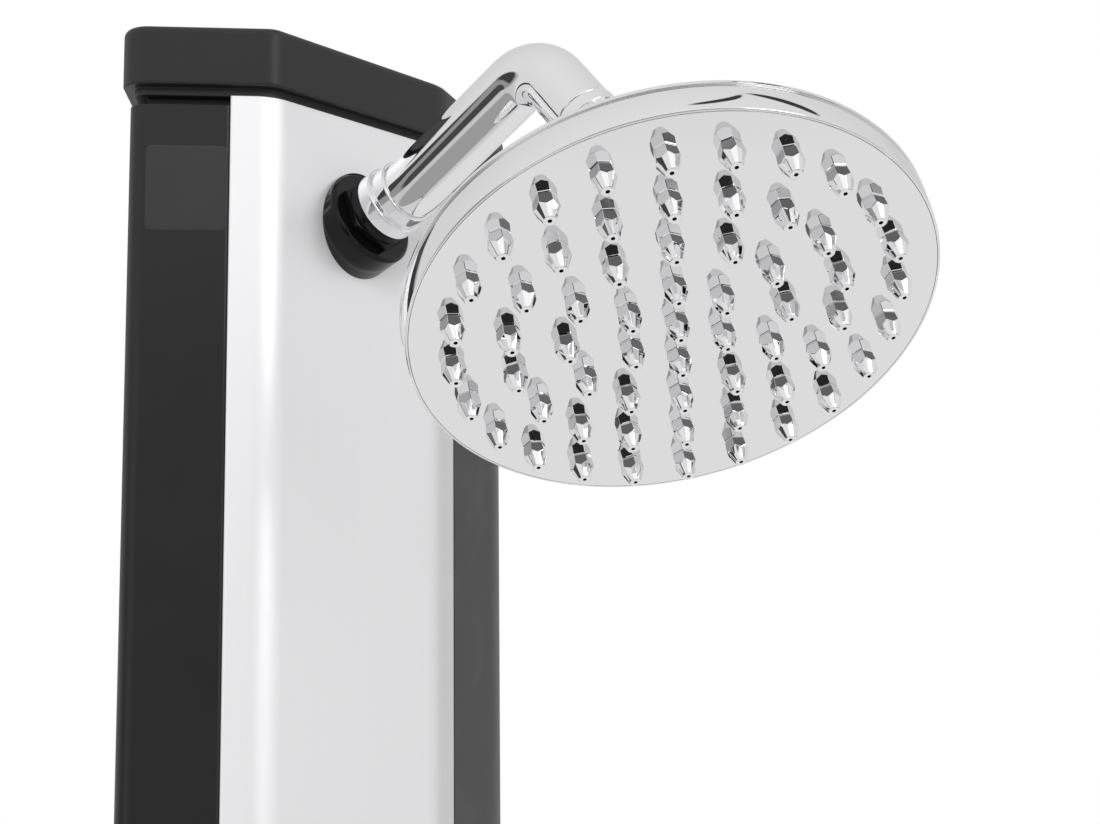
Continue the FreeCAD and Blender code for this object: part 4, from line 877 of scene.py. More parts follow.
@dataclass
class Arm:
    """Flange, lock nut, collar, bent tube and ball stud."""

    tail_rise: float = 20.0
    rise: float = 29.0
    drop: float = 48.3
    tail_length: float = 28.2
    tail_inside: float = 20.0
    rise_length: float = 60.5
    drop_length: float = 53.3
    soft_bend: float = 60.0
    tight_bend: float = 14.0
    bend_steps: int = 28
    bend_hold: float = 1.0
    tube_radius: float = 10.0
    tube_sides: int = 96
    tube_wall: float = 1.55
    fit: float = 0.05
    flange_radius: float = 17.0
    flange_thick: float = 6.5
    flange_chamfer: float = 1.0
    flange_rounds: tuple[float, ...] = (0.3, 0.5, 0.5)
    nut_flats: float = 23.6
    nut_hex: float = 3.0
    nut_shoulder: float = 1.2
    nut_turned_down: float = 1.7
    nut_steps: int = 9
    nut_neck: float = 10.9
    nut_length: float = 6.0
    collar_radius: float = 12.0
    collar_band: float = 5.6
    collar_front: float = 11.0
    collar_length: float = 11.5
    collar_rounds: tuple[float, ...] = (0.15, 0.6, 0.6, 0.2, 0.2, 0.4, 0.5, 0.15)
    collar_sides: int = 128
    groove: float = 0.8
    groove_depth: float = 0.5
    ball_radius: float = 12.0
    ball_steps: int = 40
    neck_radius: float = 5.6
    neck_length: float = 17.0
    cone_length: float = 4.0
    sleeve_radius: float = 10.4
    stud_length: float = 25.0
    stud_rounds: tuple[float, ...] = (2.0, 0.5, 0.3, 0.1, 0.3)
    spigot: float = 9.0

    def __post_init__(self) -> None:
        """Works out the centre line back from the ball, in the arm's upright plane."""
        directions = around(np.radians([self.tail_rise, self.rise, -self.drop]))
        self.ball = joint_place("head_swing")
        self.out = joint_axis("mixer_temperature")
        runs = directions * np.array([self.tail_length, self.rise_length, self.drop_length])[:, None]
        self.corners = np.concatenate([np.zeros((1, 2)), np.cumsum(runs, axis=0)])
        reach = self.corners[-1]
        self.root = self.ball - MM * (reach[0] * self.out + reach[1] * UP)
        self.tail = directions[0]
        self.last = directions[2]
        self.bore = self.tube_radius + self.fit

    def lift(self, flat: Array) -> Array:
        """Points (out, up) of the arm's plane, in millimetres from its root, as metres in the part."""
        return self.root + MM * (flat[..., :1] * self.out + flat[..., 1:2] * UP)

    def tail_axes(self) -> Axes:
        """Frame at the root: Z along the arm's tail."""
        return Axes(self.root, self.tail[0] * self.out + self.tail[1] * UP, UP)

    def build(self) -> None:
        """Builds and dresses the arm's pieces."""
        self.build_flange()
        self.build_nut()
        self.build_collar()
        self.build_tube()
        self.build_stud()

    def build_flange(self) -> None:
        """Builds the flange: a turned ring whose back row is slid along the axis onto the chamfer's plane."""
        corners = [
            (self.bore, 0), (self.bore, self.flange_thick),
            (self.flange_radius - self.flange_chamfer, self.flange_thick),
            (self.flange_radius, self.flange_thick - self.flange_chamfer), (self.flange_radius, 0)]
        axes = self.tail_axes()
        grid = round_patch(axes, corners, self.flange_rounds).grid
        along = unit(axes.z)
        ends = grid[[0, -1]]
        slide = ((self.root - ends) @ self.out) / (along @ self.out)
        grid[[0, -1]] = ends + slide[..., None] * along
        add_piece("flange_ring", "arm_flange", [Patch(grid, wrap_rows=True)])

    def build_nut(self) -> None:
        """Builds the thin hexagon nut, its corners turned down by a rounded shoulder, and its round neck."""
        low, high = self.flange_thick, self.flange_thick + self.nut_hex
        end = low + self.nut_length
        turn = np.linspace(0, np.pi / 2, self.nut_steps)
        heights = np.concatenate([[low], high - self.nut_shoulder * (1 - np.sin(turn))])
        insets = np.concatenate([[0.0], self.nut_turned_down * (1 - np.cos(turn))])
        neck = np.array([(self.nut_neck, high), (self.nut_neck, end), (self.bore, end), (self.bore, low)])
        rows = [hexagon(self.nut_flats, insets, heights), turned(neck, HEXAGON_STEPS)]
        grid = self.tail_axes().place(np.concatenate(rows))
        add_piece("lock_nut", "arm_lock_nut", [Patch(grid, wrap_rows=True)])

    def build_collar(self) -> None:
        """Builds the collar: a band, a turned groove and a slimmer front."""
        inner = self.collar_front - self.groove_depth
        start = self.flange_thick + self.nut_length
        band, end = start + self.collar_band, start + self.collar_length
        front = band + self.groove
        corners = [
            (self.bore, start), (self.collar_radius, start), (self.collar_radius, band), (inner, band),
            (inner, front), (self.collar_front, front), (self.collar_front, end), (self.bore, end)]
        axes = self.tail_axes()
        patch = round_patch(axes, corners, self.collar_rounds, closed=True, sides=self.collar_sides)
        add_piece("grooved_collar", "arm_collar", [patch])

    def build_tube(self) -> None:
        """Builds the tube: a circle carried along two bends in one plane."""
        start = -self.tail * self.tail_inside
        end = self.corners[-1] - self.last * self.stud_length
        line = [start, self.corners[1], self.corners[2], end]
        flat, _ = fillet(line, [self.soft_bend, self.tight_bend], self.bend_steps, self.bend_hold)
        circle = MM * self.tube_radius * around(ring_angles(self.tube_sides))
        grid = carried(self.lift(flat), np.cross(UP, self.out), circle)
        add_piece("bent_tube", "shower_arm", [Patch(grid, ends=True)])

    def build_stud(self) -> None:
        """Builds the ball stud: a ball, its neck, a cone, the sleeve at the tube's end and a spigot."""
        rim = np.sqrt(self.ball_radius ** 2 - self.neck_radius ** 2)
        turn = np.linspace(-np.pi / 2, np.arcsin(rim / self.ball_radius), self.ball_steps)
        end = self.stud_length + self.spigot
        inner = self.tube_radius - self.tube_wall
        corners = [
            (self.neck_radius, rim), (self.neck_radius, self.neck_length),
            (self.sleeve_radius, self.neck_length + self.cone_length), (self.sleeve_radius, self.stud_length),
            (inner, self.stud_length), (inner, end), (0, end)]
        rest, _ = fillet(corners, self.stud_rounds)
        profile = np.concatenate([self.ball_radius * around(turn), rest[1:]])
        away = -(self.last[0] * self.out + self.last[1] * UP)
        grid = Axes(self.ball, away, self.out).place(turned(profile))
        add_piece("ball_stud_polished", "ball_stud", [Patch(grid)])


# Rain head


@dataclass
class RainHead:
    """Swivel nut, shell, face plate and nozzles, with heights from the ball's centre against the spray.

    The rounds go with the corners of each profile, in order. The shell's large one is its crowned rim.
    """

    roll: float = -19.4
    radius: float = 74.4
    tip_depth: float = 70.0
    rim_height: float = 10.4
    wall: float = 1.2
    step: float = 2.6
    step_height: float = 2.2
    groove: float = 0.25
    groove_depth: float = 0.2
    groove_from_rear: float = 1.4
    rim_crown: float = 0.5
    boss_radius: float = 16.48
    flare_radius: float = 26.98
    cone_rise: float = 9.0
    cup_top: float = 5.0
    shell_rounds: tuple[float, ...] = (
        0.5, 4.0, 9.0, 1.2, 0.3, 0.6, 0.15, 0.05, 0.05, 0.15, 28.0, 0.4, 0.1, 0.2)
    plate_gap: float = 0.1
    plate_thick: float = 3.5
    plate_rounds: tuple[float, ...] = (0.3, 0.1)
    disc_sides: int = 240
    nut_radius: float = 19.48
    nut_top: float = 9.48
    nut_skirt: float = 14.0
    nut_mouth: float = 14.1
    nut_taper: float = 3.0
    nut_rounds: tuple[float, ...] = (0.3, 0.8, 2.0, 0.5, 0.5)
    nut_sides: int = 288
    ribs: int = 24
    rib_depth: float = 0.8
    rib_margin: float = 5.0
    rib_fade: float = 2.0
    rib_power: int = 8
    ring_radii: tuple[float, ...] = (14.8, 30.5, 46.2, 61.8)
    per_ring: int = 6
    sides: int = 6
    nozzle_height: float = 7.6
    foot_inset: float = 0.3
    foot_height: float = 0.35
    base_radius: float = 3.3
    belt_radius: float = 3.6
    belt_height: float = 3.2
    tip_radius: float = 1.75
    bore: float = 0.5
    bore_depth: float = 3.0
    facet_break: float = 0.1
    facet_angle: float = 8.0

    def __post_init__(self) -> None:
        """Works out the head's frame from its two joint axes and its levels from the sizes."""
        nod = joint_axis("head_nod")
        across = -joint_axis("head_swing")
        turn = np.radians(self.roll)
        forwards = np.cos(turn) * nod + np.sin(turn) * across
        self.axes = Axes(joint_place("head_nod"), np.cross(nod, across), forwards)
        self.face = self.nozzle_height - self.tip_depth
        self.rear = self.face + self.rim_height
        self.lip = self.radius - self.wall
        self.seat = self.face + self.plate_thick

    def build(self) -> None:
        """Builds and dresses the head's pieces."""
        self.build_nut()
        self.build_shell()
        self.build_plate()
        self.build_nozzles()

    def build_nut(self) -> None:
        """Builds the swivel nut: a turned cup whose side is drawn in by ribs, r - d (cos(n a / 2))^8."""
        corners = [
            (self.boss_radius, -self.nut_skirt), (self.nut_radius, -self.nut_skirt),
            (self.nut_radius, self.nut_top), (self.nut_mouth, self.nut_top),
            (self.boss_radius - self.nut_taper, 0.0)]
        profile, _ = fillet(corners, self.nut_rounds, closed=True)
        grid = turned(profile, self.nut_sides)
        outer = np.clip((profile[:, 0] - self.nut_mouth - self.rib_margin) / self.rib_fade, 0, 1)
        rib = np.cos(self.ribs * ring_angles(self.nut_sides) / 2) ** self.rib_power
        drawn = 1 - outer[:, None] * self.rib_depth * rib[None] / self.nut_radius
        grid[..., :2] *= drawn[..., None]
        patch = Patch(self.axes.place(grid), wrap_rows=True)
        add_piece("ribbed_swivel_nut", "swivel_nut", [patch], Body.HEAD)

    def build_shell(self) -> None:
        """Builds the back of the head: boss, flare, cone, rear step, crowned rim and the plate's recess."""
        step = self.radius - self.step
        cone_low = self.rear + self.step_height
        cone_high = cone_low + self.cone_rise
        flare = cone_high + self.flare_radius - self.boss_radius
        groove_high = self.rear - self.groove_from_rear
        groove_low = groove_high - self.groove
        crown_edge = self.radius - self.rim_crown
        groove_radius = crown_edge - self.groove_depth
        corners = [
            (0, -self.cup_top), (self.boss_radius, -self.cup_top), (self.boss_radius, flare),
            (self.flare_radius, cone_high), (step, cone_low), (step, self.rear), (self.radius, self.rear),
            (self.radius, groove_high), (groove_radius, groove_high), (groove_radius, groove_low),
            (crown_edge, groove_low), (self.radius, (groove_low + self.face) / 2), (crown_edge, self.face),
            (self.lip, self.face), (self.lip, self.seat), (0, self.seat)]
        patch = round_patch(self.axes, corners, self.shell_rounds, sides=self.disc_sides, steps=7)
        add_piece("head_back", "head_shell", [patch], Body.HEAD)

    def build_plate(self) -> None:
        """Builds the face plate: a flat disc with a softened edge."""
        edge = self.lip - self.plate_gap
        corners = [(0, self.seat), (edge, self.seat), (edge, self.face), (0, self.face)]
        patch = round_patch(self.axes, corners, self.plate_rounds, sides=self.disc_sides)
        add_piece("face_mirror", "face_plate", [patch], Body.HEAD)

    def nozzle_places(self) -> tuple[Array, Array]:
        """Centres and directions of the nozzles: one in the middle, then rings of six, twelve and so on.

        Returns:
            Level centres, n rows of two, and their angles.
        """
        counts = [1] + [self.per_ring * (ring + 1) for ring in range(len(self.ring_radii))]
        angles = np.concatenate([np.pi / 2 + ring_angles(count) for count in counts])
        radii = np.repeat((0.0,) + self.ring_radii, counts)
        return radii[:, None] * around(angles), angles

    def nozzle_tiers(self) -> tuple[Array, Array]:
        """Radii and heights of one nozzle: a hexagon cut to a point by twice as many facets.

        A hexagon's side stands at r cos 30 from the axis and the facets' ridges at c - n h, so that
        in the middle of a side both meet where r cos 30 = c - n h.

        Returns:
            Radii and heights of six rows of corners: foot, base, belt, tip, mouth of the bore and its end.
        """
        flat = np.cos(np.pi / self.sides)
        widening = (self.belt_radius - self.base_radius) / self.belt_height
        narrowing = (self.belt_radius - self.tip_radius) / (self.nozzle_height - self.belt_height)
        cone = self.tip_radius + narrowing * self.nozzle_height
        middle = (cone - flat * self.base_radius) / (flat * widening + narrowing)
        corner = np.arange(2 * self.sides) % 2 == 0
        share = np.where(corner, 1.0, flat)
        belt_radii = np.where(corner, self.belt_radius, cone - narrowing * middle)
        belt_heights = np.where(corner, self.belt_height, middle)
        tiers = [
            (share * (self.base_radius - self.foot_inset), 0.0),
            (share * (self.base_radius + widening * self.foot_height), self.foot_height),
            (belt_radii, belt_heights),
            (self.tip_radius, self.nozzle_height),
            (self.bore, self.nozzle_height),
            (self.bore, self.nozzle_height - self.bore_depth)]
        shape = corner.shape
        radii, heights = (np.stack([np.broadcast_to(row, shape) for row in rows]) for rows in zip(*tiers))
        return radii, -heights

    def build_nozzles(self) -> None:
        """Builds all nozzles at once, each turned with its place on the ring, paints shade into their bores and
        breaks their edges.
        """
        radii, heights = self.nozzle_tiers()
        centres, turns = self.nozzle_places()
        ring = around(turns[:, None] + ring_angles(2 * self.sides)[None])
        level = centres[:, None, None] + radii[None, ..., None] * ring[:, None]
        height = np.broadcast_to(self.face + heights[None, ..., None], level.shape[:3] + (1,))
        grids = self.axes.place(np.concatenate([level, height], axis=-1))
        piece = mesh_from("faceted_nozzles", [Patch(grid, ends=True) for grid in grids], Shading.FACETED)
        # The second finish paints shade into the bores of the chrome nozzles
        dressed(piece, Body.HEAD, ["spray_nozzles"], "chrome", CHROME, BORE_PAINTED_SHADE)
        self.paint_bore_shade(piece.data)
        bevel = piece.modifiers.new("broken edges", "BEVEL")
        bevel.width = MM * self.facet_break
        bevel.segments = 1
        bevel.limit_method = "ANGLE"
        bevel.angle_limit = np.radians(self.facet_angle)

    def paint_bore_shade(self, mesh: bpy.types.Mesh) -> None:
        """Gives the second finish, a near-black painted shade that stands in for the shade deep inside the holes,
        to the faces below the foot whose middle lies inside a bore's radius.
        """
        middles = np.empty(len(mesh.polygons) * 3)
        mesh.polygons.foreach_get("center", middles)
        local = self.axes.local(middles.reshape(-1, 3))
        centres, _ = self.nozzle_places()
        nearest = np.linalg.norm(local[:, None, :2] - centres[None], axis=-1).min(axis=1)
        inside = (nearest < self.bore) & (local[:, 2] < self.face - self.foot_height)
        mesh.polygons.foreach_set("material_index", inside.astype(np.int32))


# Mixer and foot tap


@dataclass
class Mixer:
    """Cover rose and lever handle of the mixer."""

    rose_radius: float = 34.0
    rose_thick: float = 6.0
    rose_lip: float = 2.0
    rose_rounds: tuple[float, ...] = (0.2, 0.4, 1.2, 3.0, 1.5, 1.0, 0.3)
    sleeve_radius: float = 20.0
    sleeve_length: float = 14.0
    neck_radius: float = 16.05
    knob_radius: float = 18.0
    knob_back: float = -1.25
    knob_back_share: float = 0.9
    knob_steps: int = 40
    droop: float = 12.0
    lever_width: float = 17.0
    tip_width: float = 12.0
    lever_thick: float = 8.0
    lever_reach: float = 51.0
    lever_power: float = 3.0
    lever_sides: int = 64
    tip_start: float = 0.86
    tip_thin: float = 0.35
    bar_steps: int = 16
    tip_steps: int = 14

    def build(self) -> None:
        """Builds and dresses the rose and the handle."""
        axes = chamfer_axes(joint_place("mixer_temperature")[2])
        corners = [
            (self.neck_radius, 0), (self.rose_radius, 0), (self.rose_radius, self.rose_lip),
            (self.sleeve_radius + self.rose_thick, self.rose_thick), (self.sleeve_radius, self.rose_thick),
            (self.sleeve_radius, self.sleeve_length), (self.neck_radius, self.sleeve_length)]
        add_piece("mixer_cover", "mixer_rose", [round_patch(axes, corners, self.rose_rounds, closed=True)])
        add_piece("mixer_grip", "mixer_handle", [self.knob(), self.lever()], Body.MIXER_LEVER)

    def knob(self) -> Patch:
        """A ball with a flattened back, turned about the spindle."""
        ball = self.knob_radius * around(np.linspace(self.knob_back, np.pi / 2, self.knob_steps))
        edge, level = ball[0]
        back = np.array([(0.0, level), (self.knob_back_share * edge, level)])
        axes = Axes(joint_place("mixer_lift"), joint_axis("mixer_temperature"), UP)
        return Patch(axes.place(turned(np.concatenate([back, ball]))))

    def lever(self) -> Patch:
        """A drooping bar with a section |x/a|^3 + |y/b|^3 = 1 that narrows and closes in a round tip."""
        circle = around(ring_angles(self.lever_sides))
        outline = np.sign(circle) * np.abs(circle) ** (2 / self.lever_power)
        tip = 1 - self.tip_start
        turn = np.linspace(0, np.pi / 2, self.tip_steps)[1:]
        bar = np.linspace(0, self.tip_start, self.bar_steps)
        share = np.concatenate([bar, self.tip_start + tip * np.sin(turn)])
        end = np.sqrt(np.clip(1 - np.clip((share - self.tip_start) / tip, 0, 1) ** 2, 0, 1))
        width = (self.lever_width + (self.tip_width - self.lever_width) * share) / 2 * end
        thick = self.lever_thick / 2 * (self.tip_thin + (1 - self.tip_thin) * end) * (end > 0)
        level = np.stack([thick, width], axis=1)[:, None] * outline[None]
        along = np.broadcast_to((self.lever_reach * share)[:, None, None], level.shape[:2] + (1,))
        droop = np.radians(self.droop)
        out = np.cos(droop) * joint_axis("mixer_temperature") - np.sin(droop) * UP
        axes = Axes(joint_place("mixer_lift"), out, UP)
        return Patch(axes.place(np.concatenate([level, along], axis=-1)), ends=True)


@dataclass
class FootTap:
    """Rose, body with spout, aerator ring and quarter-turn handle of the foot tap.

    The lever's layers give their depth below its top and their size in plan, as shares of the whole.
    """

    rose_radius: float = 24.0
    rose_thick: float = 5.0
    rose_lip: float = 2.0
    rose_rounds: tuple[float, ...] = (0.2, 0.4, 1.0, 2.0, 0.2)
    shank: float = 10.05
    body_radius: float = 12.0
    body_length: float = 50.0
    body_rounds: tuple[float, ...] = (0.5, 1.0)
    spout_reach: float = 34.0
    spout_radius: float = 8.0
    spout_drop: float = 34.0
    spout_rounds: tuple[float, ...] = (1.0, 0.5, 0.5, 0.5)
    bore: float = 5.0
    bore_depth: float = 12.0
    ring_radius: float = 9.5
    ring_length: float = 10.0
    ring_lip: float = 3.3
    ring_rounds: tuple[float, ...] = (0.1, 0.1, 0.1, 0.6, 1.0, 0.5)
    small_sides: int = 72
    hub_radius: float = 10.5
    hub_length: float = 13.0
    hub_gap: float = 0.4
    hub_rounds: tuple[float, ...] = (0.6, 1.5)
    lever_length: float = 52.0
    lever_width: float = 11.0
    lever_thick: float = 6.0
    lever_end_share: float = 0.25
    lever_layers: tuple[tuple[float, float], ...] = (
        (1.0, 0.85), (1.0, 0.94), (0.93, 0.985), (0.8, 1.0),
        (0.2, 1.0), (0.07, 0.985), (0.0, 0.94), (0.0, 0.85))
    tip_steps: int = 24

    def __post_init__(self) -> None:
        """Works out the frames on the chamfer and down the spout, and where the barrel ends."""
        self.axes = chamfer_axes(joint_place("foot_tap_turn")[2])
        top = self.axes.place(np.array([0.0, 0.0, self.rose_thick + self.spout_reach]))
        self.spout_axes = Axes(top, -UP, joint_axis("foot_tap_turn"))
        self.body_end = self.rose_thick + self.body_length

    def build(self) -> None:
        """Builds and dresses the tap's pieces."""
        self.build_rose()
        self.build_body()
        self.build_ring()
        self.build_handle()

    def build_rose(self) -> None:
        """Builds the round plate behind the tap."""
        corners = [
            (self.shank, 0), (self.rose_radius, 0), (self.rose_radius, self.rose_lip),
            (self.body_radius + self.rose_thick, self.rose_thick), (self.shank, self.rose_thick)]
        patch = round_patch(self.axes, corners, self.rose_rounds, closed=True)
        add_piece("tap_cover", "foot_tap_rose", [patch])

    def build_body(self) -> None:
        """Builds the barrel and its spout as two turned solids that run into each other."""
        barrel = [
            (0, self.rose_thick), (self.body_radius, self.rose_thick), (self.body_radius, self.body_end),
            (0, self.body_end)]
        drop, deep = self.spout_drop, self.spout_drop - self.bore_depth
        spout = [
            (0, 0), (self.spout_radius, 0), (self.spout_radius, drop), (self.bore, drop),
            (self.bore, deep), (0, deep)]
        patches = [
            round_patch(self.axes, barrel, self.body_rounds),
            round_patch(self.spout_axes, spout, self.spout_rounds, sides=self.small_sides)]
        add_piece("tap_barrel", "foot_tap_body", patches)

    def build_ring(self) -> None:
        """Builds the aerator ring on the spout's end."""
        low = self.spout_drop + self.ring_lip
        high = low - self.ring_length
        corners = [
            (self.bore, self.spout_drop), (self.spout_radius, self.spout_drop), (self.spout_radius, high),
            (self.ring_radius, high), (self.ring_radius, low), (self.bore, low)]
        patch = round_patch(self.spout_axes, corners, self.ring_rounds, closed=True, sides=self.small_sides)
        add_piece("tap_aerator_ring", "foot_tap_aerator", [patch])

    def build_handle(self) -> None:
        """Builds the hub, and a flat lever with a round end along the chamfer."""
        low = self.body_end + self.hub_gap
        high = low + self.hub_length
        hub = [(0, low), (self.hub_radius, low), (self.hub_radius, high), (0, high)]
        half, centre = self.lever_width / 2, self.lever_length / 2
        turn = np.linspace(-np.pi / 2, np.pi / 2, self.tip_steps)
        tip = np.stack([half * np.sin(turn), self.lever_length + half * np.cos(turn)], axis=1)
        outline = np.concatenate([[(-half, 0.0)], tip, [(half, 0.0)]])[None]
        depth, size = np.array(self.lever_layers).T[..., None, None]
        across = outline[..., :1] * size
        along = centre + (outline[..., 1:] - centre) * (1 - self.lever_end_share * (1 - size))
        level = np.broadcast_to(high - self.lever_thick * depth, across.shape)
        sideways = Axes(self.axes.origin, self.axes.z, -UP)
        bar = sideways.place(np.concatenate([across, along, level], axis=-1))
        knob = round_patch(self.axes, hub, self.hub_rounds, sides=self.small_sides)
        add_piece("tap_lever", "foot_tap_handle", [knob, Patch(bar, ends=True)], Body.TAP_LEVER)


# Hose inlet, screws and floor plate


@dataclass
class Fittings:
    """Threaded hose inlet, shoe screws and the floor plate with softened edges.

    The hexagon's layers give their height from its face and how far its corners are turned down there.
    """

    hex_flats: float = 34.0
    hex_start: float = 2.0
    hex_length: float = 8.0
    hex_layers: tuple[tuple[float, float], ...] = ((0.0, 3.0), (0.0, 2.6), (0.4, 1.6), (1.0, 0.6), (1.8, 0.0))
    thread_radius: float = 13.2
    thread_length: float = 15.0
    thread_pitch: float = 1.8
    thread_depth: float = 0.9
    thread_fade: float = 1.5
    thread_rows: int = 110
    thread_sides: int = 72
    bore: float = 9.5
    bore_depth: float = 14.0
    mouth_break: float = 0.6
    screw_head: float = 4.0
    screw_height: float = 2.2
    screw_crown_share: float = 0.7
    screw_edge: float = 0.4
    screw_rounds: tuple[float, ...] = (0.2, 0.2, 0.6, 0.3, 0.1)
    screw_sides: int = 48
    socket_radius: float = 1.7
    socket_depth: float = 1.2
    plate_bevel: float = 0.8

    def build(self) -> None:
        """Builds and dresses the inlet, the screws and the plate."""
        self.build_inlet()
        self.build_screws()
        self.build_plate()

    def inlet_axes(self) -> Axes:
        """Frame on the back wall at the inlet: Z out of the wall."""
        low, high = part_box("inlet_washer")
        middle = (np.array(low) + np.array(high)) / 2
        return Axes(np.array([middle[0], low.y, middle[2]]), np.array([0.0, 1.0, 0.0]), UP)

    def build_inlet(self) -> None:
        """Builds the hexagon and the threaded nose, r - d (1 + cos(2 pi h / pitch + a)) / 2 on its ridge."""
        start = self.hex_start + self.hex_length
        mouth = start + self.thread_length
        deep = mouth - self.bore_depth
        height = np.linspace(start, mouth, self.thread_rows)[:, None]
        angle = ring_angles(self.thread_sides)[None]
        fade = np.clip((mouth - height) / self.thread_fade, 0, 1)
        wave = (1 + np.cos(2 * np.pi * height / self.thread_pitch + angle)) / 2
        radius = self.thread_radius - self.thread_depth * np.maximum(wave, 1 - fade)
        inside = np.array([
            (self.bore + self.mouth_break, mouth), (self.bore, mouth - self.mouth_break),
            (self.bore, deep), (0, deep)])
        nose = np.concatenate([polar(radius, angle, height), turned(inside, self.thread_sides)])
        axes = self.inlet_axes()
        patches = [Patch(axes.place(self.hexagon_rows())), Patch(axes.place(nose))]
        add_piece("threaded_inlet", "inlet_nipple", patches)

    def hexagon_rows(self) -> Array:
        """The inlet's hexagon from the middle of its back to the middle of its front."""
        centre = (0.0, self.hex_flats / np.sqrt(3))
        rise, inset = np.array((centre,) + self.hex_layers).T
        heights = np.concatenate([self.hex_start + rise, self.hex_start + self.hex_length - rise[::-1]])
        return hexagon(self.hex_flats, np.concatenate([inset, inset[::-1]]), heights)

    def build_screws(self) -> None:
        """Builds the two pan-head screws of the shoe, each with a round driver socket."""
        floor = self.screw_height - self.socket_depth
        crown = self.screw_head * self.screw_crown_share
        corners = [
            (0, floor), (self.socket_radius, floor), (self.socket_radius, self.screw_height),
            (crown, self.screw_height), (self.screw_head, self.screw_edge), (self.screw_head, 0.0), (0, 0.0)]
        box_low, box_high = (np.array(corner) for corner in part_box("shoe_screws"))
        height = box_high[2] - MM * self.screw_head
        left = np.array([box_low[0] + MM * self.screw_height, box_low[1] + MM * self.screw_head, height])
        back = np.array([box_high[0] - MM * self.screw_head, box_high[1] - MM * self.screw_height, height])
        places = [Axes(left, np.array([-1.0, 0.0, 0.0]), UP), Axes(back, np.array([0.0, 1.0, 0.0]), UP)]
        patches = [round_patch(axes, corners, self.screw_rounds, sides=self.screw_sides) for axes in places]
        add_piece("shoe_screw_heads", "shoe_screws", patches)

    def build_plate(self) -> None:
        """Copies the floor plate's solid, merges it and softens its edges with a bevel."""
        mesh = frame["nodes"]["base_plate"].data.copy()
        mesh.materials.clear()
        piece = linked("floor_plate", mesh, Shading.SMOOTH)
        bevel = piece.modifiers.new("softened edges", "BEVEL")
        bevel.width = MM * self.plate_bevel
        bevel.segments = 3
        bevel.limit_method = "ANGLE"
        bevel.harden_normals = True
        dressed(piece, Body.COLUMN, ["base_plate"], "black_steel")


# Studio


def looking(place: Array, direction: Array, up: Array) -> Matrix:
    """Matrix of a lamp or camera that looks along a direction.

    Args:
        place: its position.
        direction: unit vector of the view.
        up: a vector that appears upright.

    Returns:
        A matrix whose -Z is the direction and whose Y is nearest to up.
    """
    side = unit(np.cross(direction, up))
    columns = np.stack([side, np.cross(side, direction), -direction, place], axis=1)
    return Matrix(np.vstack([columns, [0, 0, 0, 1]]).tolist())


@dataclass(frozen=True)
class Lamp:
    """A soft rectangular lamp: its place and aim in metres, its size and its power."""

    name: str
    place: tuple[float, float, float]
    aim: tuple[float, float, float]
    size: tuple[float, float]
    power: float

    def build(self) -> None:
        """Adds the lamp, turned so that it shines at its aim."""
        light = bpy.data.lights.new(self.name, "AREA")
        light.shape = "RECTANGLE"
        light.size, light.size_y = self.size
        light.energy = self.power
        lamp = bpy.data.objects.new(self.name, light)
        lamp.visible_glossy = False
        direction = unit(np.array(self.aim) - np.array(self.place))
        lamp.matrix_world = looking(np.array(self.place), direction, UP)
        bpy.context.scene.collection.objects.link(lamp)


@dataclass(frozen=True)
class Panel:
    """An oval panel far away that only mirrors show, a dark flag or a bright lamp box.

    Its place and half sizes are in degrees, and its tone is what mirrors see of it.
    """

    azimuth: float
    elevation: float
    width: float
    height: float
    tone: float
    softness: float = 0.25
    push: float = 100.0

    def wire(self, graph: Graph, direction: Socket, behind: object) -> Socket:
        """Wires the panel over what is behind it.

        The distance from its middle is the length of (across / width, rise / height), and directions
        on its far side are pushed out of it.

        Args:
            graph: the world's graph.
            direction: direction of the ray.
            behind: tone behind the panel.

        Returns:
            The tone with the panel in it.
        """
        turn, rise, width, height = np.radians([self.azimuth, self.elevation, self.width, self.height])
        towards = graph.dot(direction, (np.sin(turn), -np.cos(turn), 0.0))
        across = graph.math("DIVIDE", graph.dot(direction, (np.cos(turn), np.sin(turn), 0.0)), np.sin(width))
        above = graph.math("SUBTRACT", graph.dot(direction, UP), np.sin(rise))
        upright = graph.math("DIVIDE", above, np.sin(height) * np.cos(rise))
        away = graph.math("MULTIPLY", graph.math("MINIMUM", towards, 0.0), self.push)
        offset = graph.add("ShaderNodeCombineXYZ", {0: across, 1: upright, 2: away}).outputs[0]
        distance = graph.add("ShaderNodeVectorMath", {0: offset}, operation="LENGTH").outputs["Value"]
        cover = graph.remap(distance, 1.0, 1.0 + self.softness, 1.0, 0.0)
        return graph.fade(cover, behind, self.tone)


